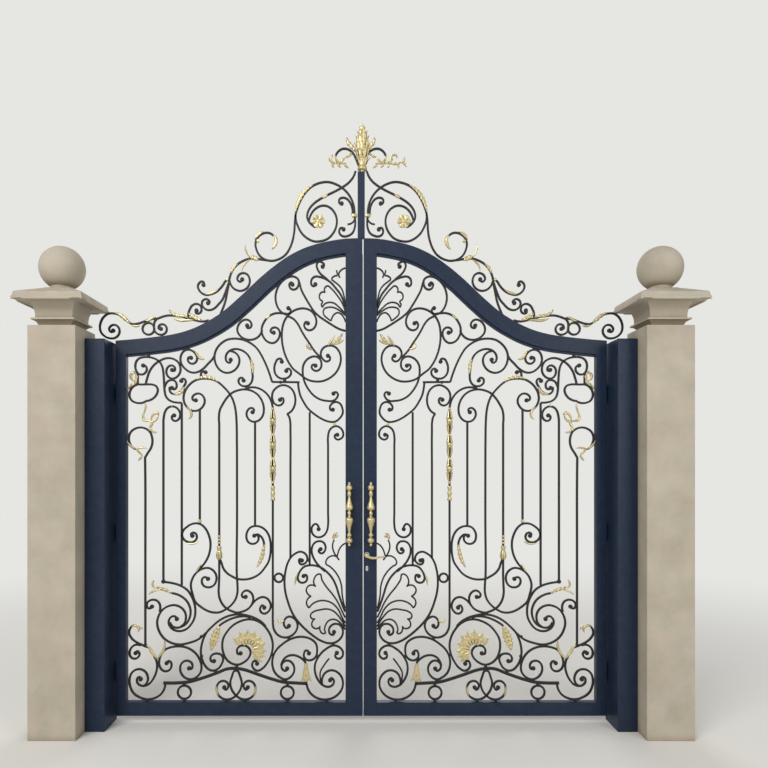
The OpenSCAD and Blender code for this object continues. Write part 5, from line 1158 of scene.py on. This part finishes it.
# Gilding
def leaf_set(leaves, discs=(), place=drawn):
    """The gilded leaves and beads of one panel, lying flat."""
    proud = BAR_HALF + settings().gilt.relief
    parts = []
    for width, lobed, points in leaves:
        spine = [place(p) for p in points]
        run = sum((b - a).length for a, b in zip(spine, spine[1:]))
        eyes = max(1, round(run / LOBE)) if lobed else 0
        parts.append(leaf(spine, width * MM * 1.04, lobed, proud, eyes=eyes))
    for u, z, radius in discs:
        parts += buttons([place((u, z))], radius * MM, 2 * proud - 2 * MM, 0.8 * MM)
    return parts


FLOWER_MIDDLE = Vector((758, 491))
PETAL_ANGLES = (36, 63, 89, 113, 136, 162, 188, 206, 224)
BAND_ANGLES = range(34, 230, 24)


def flower_head(name):
    """Half a sunflower round the eye of the big scroll: a crescent of seed with a beaded band, inner
    leaflets and nine pointed petals."""
    proud = BAR_HALF + settings().gilt.relief

    def ray(angle, *reaches):
        out = Vector((math.cos(math.radians(angle)), math.sin(math.radians(angle))))
        return [drawn(FLOWER_MIDDLE + out * r) for r in reaches]

    parts = [leaf(ray(a, 62, 84, 106, 130), 50 * MM, 0, proud - 4 * MM, "point", 1) for a in PETAL_ANGLES]
    between = [(a + b) / 2 for a, b in zip(PETAL_ANGLES, PETAL_ANGLES[1:])]
    parts += [leaf(ray(a, 30, 48, 66, 84), 36 * MM, 0, proud - 1.5 * MM, "petal", 1) for a in between]
    parts += [leaf(ray(a, 66, 80, 94, 108), 24 * MM, 0, proud - 2.5 * MM, "point") for a in between]
    parts.append(leaf([ray(a, 74)[0] for a in BAND_ANGLES], 12 * MM, 1, proud + 0.5 * MM, "band"))
    made = stood(parts, name)
    smooth(made, 60)
    return made


TASSEL = [(371, 394), (370, 350), (369, 310), (368, 272)]
TASSEL_WIDTH = 58


def tassel():
    """A bell of acanthus that hangs from a bar's end, four pointed leaflets at its foot."""
    proud = BAR_HALF + settings().gilt.relief
    spine = [drawn(p) for p in TASSEL]
    parts = [leaf(spine, TASSEL_WIDTH * MM, 0, proud, "petal", 1)]
    foot, run = spine[-1], unit(spine[-1] - spine[-2])
    across = Vector((-run.y, run.x))
    for shift, lean in ((-0.42, -0.5), (-0.14, -0.14), (0.14, 0.14), (0.42, 0.5)):
        start = foot - run * 30 * MM + across * shift * 0.7 * TASSEL_WIDTH * MM
        way = unit(run + across * lean)
        tip = [start, start + way * 22 * MM, start + way * 38 * MM + across * lean * 10 * MM]
        parts.append(leaf(tip, 19 * MM, 0, proud - 1.5 * MM, "point"))
    return parts


def gilt_leaves(name):
    """The gilded leaves and beads of the leaf's three zones, and its tassel."""
    made = stood(leaf_set(GILT_LEAVES, GILT_DISCS) + tassel(), name)
    smooth(made, 60)
    return made


ROSETTE_AT = Vector((287, 3353))
ROSETTE_RADIUS = 46
ROSETTE_PETALS = 6


def rosette():
    """The six-petalled flower inside the crest's big scroll."""
    parts = []
    for i in range(ROSETTE_PETALS):
        a = 2 * math.pi * i / ROSETTE_PETALS
        out = Vector((math.cos(a), math.sin(a))) * ROSETTE_RADIUS
        spine = [drawn(ROSETTE_AT + out * share) for share in (0.1, 0.5, 0.8, 1.0)]
        parts.append(leaf(spine, ROSETTE_RADIUS * 0.95 * MM, 0, BAR_HALF + 2 * MM, "petal"))
    return parts + buttons([drawn(ROSETTE_AT)], ROSETTE_RADIUS * 0.26 * MM, 2 * BAR_HALF + 7 * MM, 1.5 * MM)


# The clip that ties the crest to the centre bar: how far out and up it sits, and its sizes
CLIP_OUT, CLIP_UP = 45 * MM, 3402 * MM
CLIP_WIDTH, CLIP_DEPTH, CLIP_HEIGHT = 36 * MM, 2 * BAR_HALF + 8 * MM, 20 * MM


def crest_gilding(name):
    """The crest's leaves, beads and rosette, and the clip beside the centre bar."""
    crest = stood(leaf_set(CREST_LEAVES, CREST_DISCS) + rosette(), "crest")
    bpy.ops.mesh.primitive_cube_add(size=1, location=(GATE_X + CLIP_OUT, LEAF_Y, CLIP_UP))
    clip = bpy.context.object
    clip.scale = (CLIP_WIDTH, CLIP_DEPTH, CLIP_HEIGHT)
    bpy.ops.object.transform_apply(location=True, scale=True)
    modified(clip, "BEVEL", width=2 * MM, segments=2)
    made = joined([crest, clip], name)
    smooth(made, 60)
    return made


# Profiles of a husk's bud, one of its leaflets, the tail of the chain and the cup, as (radius, height)
BUD = [(0, 2), (9, 1), (15, -4), (19, -14), (20, -24), (19, -34), (15, -44), (9, -50), (0, -51)]
CALYX = [(9, 52), (13, 40), (17, 22), (20, 6), (25, -7)]
TAIL = [(0, 100), (10, 100), (14.5, 92), (12, 74), (12, 60), (15.5, 52), (11, 30), (10.5, 0), (0, 0)]
CUP = [(0, 90), (13, 90), (16, 76), (13, 62), (17, 50), (22, 28), (20, 10), (13.5, 0), (0, 0)]


def husk(profile, petals, low, lip, hem):
    """A bell of pointed leaflets threaded on a bar, in millimetres. Its grooves deepen from the
    height of the lip down to low, where the edge between two points is higher by the hem."""
    made = turned(rounded(profile, 2.2 * MM), 32)
    dark = []
    for vertex in made.data.vertices:
        valley = 0.5 - 0.5 * math.cos(petals * math.atan2(vertex.co.y, vertex.co.x))
        share = max(0.0, min(1.0, (lip * MM - vertex.co.z) / ((lip - low) * MM)))
        factor = 1 - (0.10 + 0.20 * share) * valley ** 1.5
        vertex.co.x *= factor
        vertex.co.y *= factor
        vertex.co.z += hem * MM * share ** 2 * valley
        # The valleys between leaflets are darkened towards black, most where the grooves are deepest: partly
        # the black bar seen through the clefts, partly painted shade in them
        dark.append(max(0.0, min(1.0, (valley - 0.72) * 3.2)) * (0.35 + 0.65 * share))
    blacken(made, dark)
    return made


# Two chains a leaf, each with the place of its upright: husks and beads from a top down, and a cup
# with three beads over it from a foot up
LONG_CHAIN, LONG_CHAIN_TOP = 592, 2035
SHORT_CHAIN, SHORT_CHAIN_FOOT = 951, 1090


def husk_chain(name):
    """Husks and beads threaded on their uprights."""
    given = settings().gilt
    bead_radius, pitch = given.bead / MM, given.pitch / MM
    parts = []

    def thread(piece, u, z):
        at = drawn((u, z))
        parts.append(moved(piece, GATE_X + at.x, LEAF_Y, at.y))

    def bead(u, z):
        angles = [math.radians(t) for t in range(0, 181, 20)]
        outline = [(bead_radius * math.sin(a), -bead_radius * math.cos(a)) for a in angles]
        thread(turned([(max(r, 0) * MM, h * MM) for r, h in outline], 20), u, z)

    def calyx(u, z, way):
        """Four leaflets round the bar, one cleft to the front; way -1 opens upward."""
        for quarter in range(4):
            made = frond([(r * MM, way * h * MM) for r, h in CALYX], 24 * MM, 0, 3 * MM, 20 * MM)
            made.data.transform(Matrix.Rotation(math.radians(45 + 90 * quarter), 4, "Z"))
            thread(made, u, z)

    bead(LONG_CHAIN, LONG_CHAIN_TOP + 64)
    for i in range(3):
        z = LONG_CHAIN_TOP - i * pitch
        thread(husk(BUD, 8, -50, 0, 0), LONG_CHAIN, z)
        calyx(LONG_CHAIN, z, 1)
        calyx(LONG_CHAIN, z - 50, -1)
        bead(LONG_CHAIN, z - 110)
    thread(husk(TAIL, 6, 0, 60, 4), LONG_CHAIN, LONG_CHAIN_TOP - 2 * pitch - 232)
    thread(husk(CUP, 6, 0, 90, 0), SHORT_CHAIN, SHORT_CHAIN_FOOT)
    for height in (110, 132, 154):
        bead(SHORT_CHAIN, SHORT_CHAIN_FOOT + height)
    made = joined(parts, name)
    smooth(made, 55)
    return made


# Profile of a pull, as (radius, height), and the heights of its two feet
PULL = [
    (0, 0), (5, 1), (8.5, 5), (8.5, 13), (6, 19), (13, 23), (20, 29), (22, 39), (20, 49), (13, 54), (8, 58),
    (8, 63), (14, 67), (15.5, 74), (14, 81), (9, 85), (9, 107), (12, 122), (18, 142), (25, 165), (27, 175),
    (24, 185), (12, 193), (8, 198), (8, 207), (11.5, 211), (12.5, 217), (11.5, 223), (8, 228), (8, 237),
    (18, 242), (25, 251), (24, 262), (18, 282), (12, 302), (9, 317), (7, 324), (7.5, 330), (11, 336),
    (13, 347), (11, 360), (7, 367), (13, 373), (19, 380), (20.5, 389), (19, 398), (13, 404), (7, 410),
    (8.5, 416), (7, 423), (0, 427),
]
PULL_FEET = (39, 389)
PULL_RADIUS, PULL_HEIGHT = 27, 427


def pull(name, node):
    """A turned baluster grip standing off the leaf on two round feet."""
    low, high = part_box(node)
    middle_x = (low.x + high.x) / 2
    axis_y = low.y + PULL_RADIUS * MM
    stretch = (high.z - low.z) / (PULL_HEIGHT * MM)
    spindle = turned([(r, h * stretch) for r, h in rounded(PULL)], 32)
    parts = [moved(spindle, middle_x, axis_y, low.z)]
    reach = (LEAF_FRONT - axis_y) / MM
    foot = [(0, 0), (16, 0), (16.5, 2.5), (15, 5), (11, 8), (8, 12), (7.5, 18), (7.5, reach)]
    for height in PULL_FEET:
        made = aimed(turned(rounded(foot, 1.5 * MM), 24))
        parts.append(moved(made, middle_x, LEAF_FRONT, low.z + height * stretch * MM))
    made = joined(parts, name)
    smooth(made, 50)
    return made


# The lever's boss as (radius, height) and the middle line of its arm, from the spindle out
BOSS = [(0, 0), (15, 0), (15.3, 3), (13.6, 6), (12.2, 14), (12.5, 28), (14, 33), (14, 39), (12, 42.5),
        (7, 44.5), (0, 45)]
LEVER_ARM = [(-2, 1), (22, -13), (52, -16), (86, -9), (123, -7)]
LEVER_REACH = 128.5
ROSE_RADIUS = 18


def handle(name):
    """The lever: a turned boss and an arm that dips, rises and thins to a rounded tip."""
    low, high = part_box("lever")
    plate_low, plate_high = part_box("lock_plate")
    x = (plate_low.x + plate_high.x) / 2
    z = plate_high.z - ROSE_RADIUS * MM
    parts = [moved(aimed(turned(rounded(BOSS, 1.3 * MM), 28)), x, plate_low.y - 0.3 * MM, z)]
    grow = (high.x - x) / (LEVER_REACH * MM)
    arm = aimed(leaf([Vector((u * grow, v)) * MM for u, v in LEVER_ARM], 20 * MM, 0, 7 * MM, "arm"))
    parts.append(moved(arm, x, low.y + 8 * MM, z))
    made = joined(parts, name)
    smooth(made, 50)
    return made


# The finial: its foot and core as (radius, height), and its tiers of leaves. Each lower tier stands
# further out: (leaves in it, degrees it is turned, width, outline of a leaf, radius it wraps round).
FINIAL_X = GATE_X + 8 * MM
FINIAL_HEIGHT = 330
CORE_FOOT = 84  # height at which the core stands
FOOT = [(0, 0), (15, 0), (14.5, 8), (17, 13), (29, 15), (33, 22), (31, 31), (26, 44), (25, 60), (27, 74),
        (29, 86), (20, 92), (0, 90)]
CORE = [(0, 0), (20, 4), (28, 28), (36, 62), (40, 100), (38, 136), (31, 170), (22, 202), (12, 226), (0, 238)]
TIERS = [
    (8, 0, 32, [(20, 46), (30, 60), (37, 78), (46, 92), (57, 98)], 33),
    (8, 22.5, 34, [(26, 80), (36, 104), (43, 128), (50, 148), (58, 154)], 34),
    (8, 0, 34, [(30, 118), (40, 146), (45, 174), (51, 196), (58, 202)], 34),
    (8, 22.5, 30, [(28, 160), (36, 188), (39, 216), (43, 238), (50, 246)], 30),
    (6, 0, 27, [(20, 206), (28, 232), (29, 256), (32, 276), (38, 284)], 22),
    (6, 30, 20, [(12, 246), (17, 268), (17, 290), (19, 304), (24, 310)], 13),
    (3, 90, 18, [(3, 278), (6, 298), (4, 316), (5, 328)], 9),
]
FLATTENED = 0.64  # depth of the plume as a share of its width


def finial_top(name):
    """Turned foot, a cup of leaves, an acanthus plume in tiers and the leaf sprays on both sides."""
    low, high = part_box("finial")
    grow = (high.z - low.z) / (FINIAL_HEIGHT * MM)
    foot = turned(rounded(FOOT, 2.2 * MM), 40)
    core = turned(rounded(CORE, 3.2 * MM), 56)
    dark = []
    # The troughs between the core's ridges are darkened towards black
    for vertex in core.data.vertices:
        vein = abs(math.sin(7 * math.atan2(vertex.co.y, vertex.co.x))) ** 0.7
        vertex.co.x *= 1 - 0.10 * (1 - vein)
        vertex.co.y *= 0.66 * (1 - 0.16 * (1 - vein))
        dark.append(max(0.0, 0.62 - vein))
    blacken(core, dark)
    parts = [moved(foot, FINIAL_X, LEAF_Y, low.z)]
    parts.append(moved(core, FINIAL_X, LEAF_Y, low.z + CORE_FOOT * grow * MM))
    for count, turn, width, outline, cupped in TIERS:
        for i in range(count):
            made = frond([(r * MM, h * MM) for r, h in outline], width * MM, 1, 2.4 * MM, cupped * MM)
            angle = math.radians(turn + 360 / count * i)
            made.data.transform(Matrix.Diagonal((1, FLATTENED, grow, 1)) @ Matrix.Rotation(angle, 4, "Z"))
            parts.append(moved(made, FINIAL_X, LEAF_Y, low.z))
    left_leaves = [(width, lobed, across_crest(points)) for width, lobed, points in HOOK_LEAVES]
    parts.append(stood(leaf_set(HOOK_LEAVES + LONG_SPRAY + left_leaves, place=at_crest), "sprays"))
    made = joined(parts, name)
    smooth(made, 50)
    return made


HOOK = [(10, 3738), (19, 3758), (30, 3786), (42, 3812), (62, 3836), (96, 3852), (124, 3850), (150, 3832),
        (165, 3806)]


def hooks(name):
    """Two hooked bars that spring from the centre bar beside the finial."""
    strokes = [[at_crest(p) for p in points] for points in (HOOK, across_crest(HOOK))]
    made = stood([swept(strokes, [], (settings().iron.bar, 2 * BAR_HALF), HOOK_DETAIL)], name)
    outward(made)
    smooth(made, 40)
    return made


# Frame, posts and piers
FRAME_MEMBERS = ("hinge_stile", "top_rail", "bottom_rail", "meeting_stile", "arch_liner")
SLIT_STRIP = [(0, -7), (1.2, -6), (2.2, -3.5), (2.5, 0), (2.2, 3.5), (1.2, 6), (0, 7)]
SLIT_STRIP_SHORT = 4 * MM  # by which the strip stops short of the stile at either end


def welded(nodes, name):
    """Copies of packed members run together where they are welded, seams ground flush."""
    made = copy_of(nodes[0], name)
    for node in nodes[1:]:
        other = copy_of(node, name + "_part")
        modified(made, "BOOLEAN", operation="UNION", solver="EXACT", object=other)
        bpy.data.objects.remove(other)
    merged(made, 0.05 * MM)
    outward(made)
    return made


def meeting_seal(name):
    """A rounded black strip up the edge of the left meeting stile, filling the slit between the leaves; its
    black stands for the shade in the slit.
    """
    low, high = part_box("left_meeting_stile")
    bpy.ops.mesh.primitive_circle_add(vertices=len(SLIT_STRIP), radius=1, fill_type="NGON", location=(0, 0, 0))
    made = bpy.context.object
    made.name = name
    for vertex, (x, y) in zip(made.data.vertices, SLIT_STRIP):
        vertex.co = (high.x + x * MM, LEAF_Y + y * MM, low.z + SLIT_STRIP_SHORT)
    editing(made, "SELECT")
    rise = high.z - low.z - 2 * SLIT_STRIP_SHORT
    bpy.ops.mesh.extrude_region_move(TRANSFORM_OT_translate={"value": (0, 0, rise)})
    done()
    outward(made)
    return made


# One operator for each group of pieces
class GATE_OT_frames(bpy.types.Operator):
    """Dresses the leaves' frames, the posts, hinges and centre bar in eased steel, and fills the slit between
    the leaves with a black strip that stands for its shade
    """

    bl_idname = "gate.frames"
    bl_label = "Frames and Posts"

    def execute(self, context):
        arris = settings().frames.arris
        for side in SIDES:
            members = [side + "_" + member for member in FRAME_MEMBERS]
            made = welded(members, side + "_frame")
            arrised(made, arris)
            finish(made, PAINT, side + "_leaf", *members)
            made = copy_of(side + "_post", side + "_steel_post")
            arrised(made, 1.6 * arris)
            finish(made, PAINT, "gateway", side + "_post")
            for node, body in ((side + "_post_hinges", "gateway"), (side + "_leaf_hinges", side + "_leaf")):
                made = copy_of(node, node + "_eased")
                arrised(made, 0.4 * arris)
                finish(made, PAINT, body, node)
        # A black strip in the slit between the leaves: painted shade there
        finish(meeting_seal("meeting_seal"), IRON, "left_leaf")
        made = copy_of("centre_bar", "crest_bar")
        arrised(made, arris)
        finish(made, PAINT, "left_leaf", "centre_bar")
        return {"FINISHED"}


class GATE_OT_ironwork(bpy.types.Operator):
    """Sweeps the scroll bars of the leaves, the crest and the hooks, with their eyes and weld beads"""

    bl_idname = "gate.ironwork"
    bl_label = "Scrollwork"

    def execute(self, context):
        strokes = LOWER_BARS + MIDDLE_BARS + UPPER_BARS + LEAF_BARS
        both_sides(ironwork("right_scrollwork", strokes, RINGS, COLLARS), "scrollwork", IRON,
                   "lower_scrolls", "middle_bars", "upper_scrolls")
        both_sides(ironwork("right_crest", OVER_BARS, OVER_RINGS), "crest", IRON, "overthrow")
        finish(hooks("crest_hook_bars"), IRON, "left_leaf", "crest_hooks")
        return {"FINISHED"}


class GATE_OT_gilding(bpy.types.Operator):
    """Models the gilded leaves, sunflowers, husks, pulls, lever, key plate and finial"""

    bl_idname = "gate.gilding"
    bl_label = "Gilding"

    def execute(self, context):
        both_sides(gilt_leaves("right_gilt_leaves"), "gilt_leaves", GOLD, "leaves")
        both_sides(flower_head("right_sunflower"), "sunflower", GOLD, "flower")
        both_sides(crest_gilding("right_crest_gilding"), "crest_gilding", GOLD, "crest_leaves")
        both_sides(husk_chain("right_husk_chain"), "husk_chain", GOLD, "husks")
        for side in SIDES:
            finish(pull(side + "_baluster_pull", side + "_pull"), GOLD, side + "_leaf", side + "_pull")
        finish(handle("lever_handle_arm"), GOLD, "lever_handle", "lever")
        finish(finial_top("plume_finial"), GOLD, "left_leaf", "finial")
        made = copy_of("lock_plate", "keyhole_plate")
        arrised(made, 0.5 * MM)
        finish(made, NICKEL, "right_leaf", "lock_plate")
        return {"FINISHED"}


class GATE_OT_piers(bpy.types.Operator):
    """Dresses the stone piers, their moulded caps and balls"""

    bl_idname = "gate.piers"
    bl_label = "Stone Piers"

    def execute(self, context):
        arris = settings().stone.arris
        for side in SIDES:
            shaft = copy_of(side + "_pier_shaft", side + "_shaft")
            arrised(shaft, arris, 3)
            finish(shaft, STONE, "gateway", side + "_pier_shaft")
            cap = copy_of(side + "_pier_cap", side + "_cap")
            arrised(cap, 0.6 * arris)
            finish(cap, STONE, "gateway", side + "_pier_cap")
            ball = copy_of(side + "_pier_ball", side + "_ball")
            smooth(ball, 40)
            finish(ball, STONE, "gateway", side + "_pier_ball")
        return {"FINISHED"}


# Soft lamps: name, place from the gate's middle, side of the square, share of the main power
LAMPS = [
    ("main_softbox", (-4.4, -7.5, 7.6), 5.0, 1.0),
    ("side_softbox", (5.5, -6.5, 3.5), 4.0, 0.27),
    ("rear_softbox", (1.0, 8.0, 6.0), 4.0, 0.39),
]
LAMP_AIM = 1.7  # height that they point at
SENSOR = 36  # width of the camera's sensor in millimetres
FLOOR_RADIUS = 60


class GATE_OT_stage(bpy.types.Operator):
    """Sets the floor, the light and the camera of the photograph's view"""

    bl_idname = "gate.stage"
    bl_label = "Stage"

    def execute(self, context):
        given = settings().stage
        bpy.ops.mesh.primitive_circle_add(vertices=96, radius=FLOOR_RADIUS, fill_type="NGON",
                                          location=(GATE_X, LEAF_Y, 0))
        floor = bpy.context.object
        floor.name = "floor"
        fading_floor(given)
        floor.data.materials.append(bpy.data.materials["matt_pale_floor"])

        world = bpy.data.worlds.new("studio")
        context.scene.world = world
        world.use_nodes = True
        tree = world.node_tree
        tree.nodes.clear()
        seen = add(tree, "Background", Color=opaque(given.surround), Strength=1.0)
        fill = add(tree, "Background", Color=linear("#eceef0"), Strength=0.5)
        rays = add(tree, "LightPath", output="Is Camera Ray")
        add(tree, "OutputWorld", Surface=add(tree, "MixShader", Fac=rays, Shader=fill, Shader_001=seen))

        for name, place, size, share in LAMPS:
            bpy.ops.object.light_add(type="AREA", location=(GATE_X + place[0], LEAF_Y + place[1], place[2]))
            lamp = bpy.context.object
            lamp.name = name
            lamp.data.size = size
            lamp.data.energy = share * given.light
            aim = Vector((GATE_X, LEAF_Y, LAMP_AIM)) - lamp.location
            lamp.rotation_euler = aim.to_track_quat("-Z", "Y").to_euler()

        bpy.ops.object.camera_add(location=(GATE_X, LEAF_Y - given.distance, given.eye_height),
                                  rotation=(math.pi / 2, 0, 0))
        camera = bpy.context.object
        camera.name = "photo_view"
        camera.data.sensor_width = SENSOR
        camera.data.lens = given.lens
        camera.data.shift_x = given.shift_x
        camera.data.shift_y = given.shift_y
        context.scene.camera = camera
        context.scene.view_settings.view_transform = "Standard"
        return {"FINISHED"}


OPERATORS = (GATE_OT_frames, GATE_OT_ironwork, GATE_OT_gilding, GATE_OT_piers, GATE_OT_stage)
GROUPS = (IronSettings, FrameSettings, GiltSettings, StoneSettings, StageSettings, GateSettings)


class GATE_PT_panel(bpy.types.Panel):
    """The gate's pieces and their sizes, in the sidebar"""

    bl_idname = "GATE_PT_panel"
    bl_label = "Driveway Gate"
    bl_space_type = "VIEW_3D"
    bl_region_type = "UI"
    bl_category = "Gate"

    def draw(self, context):
        for operator in OPERATORS:
            self.layout.operator(operator.bl_idname)
        given = context.scene.gate_settings
        for group in GateSettings.__annotations__:
            box = self.layout.box()
            box.label(text=group.title())
            values = getattr(given, group)
            for name in type(values).__annotations__:
                box.prop(values, name)


def register():
    for each in (*GROUPS, *OPERATORS, GATE_PT_panel):
        bpy.utils.register_class(each)
    bpy.types.Scene.gate_settings = bpy.props.PointerProperty(type=GateSettings)


def unregister():
    del bpy.types.Scene.gate_settings
    for each in (GATE_PT_panel, *reversed(OPERATORS), *reversed(GROUPS)):
        bpy.utils.unregister_class(each)


def main():
    register()
    for operator in OPERATORS:
        group, name = operator.bl_idname.split(".")
        getattr(getattr(bpy.ops, group), name)()


if __name__ == "__main__":
    main()
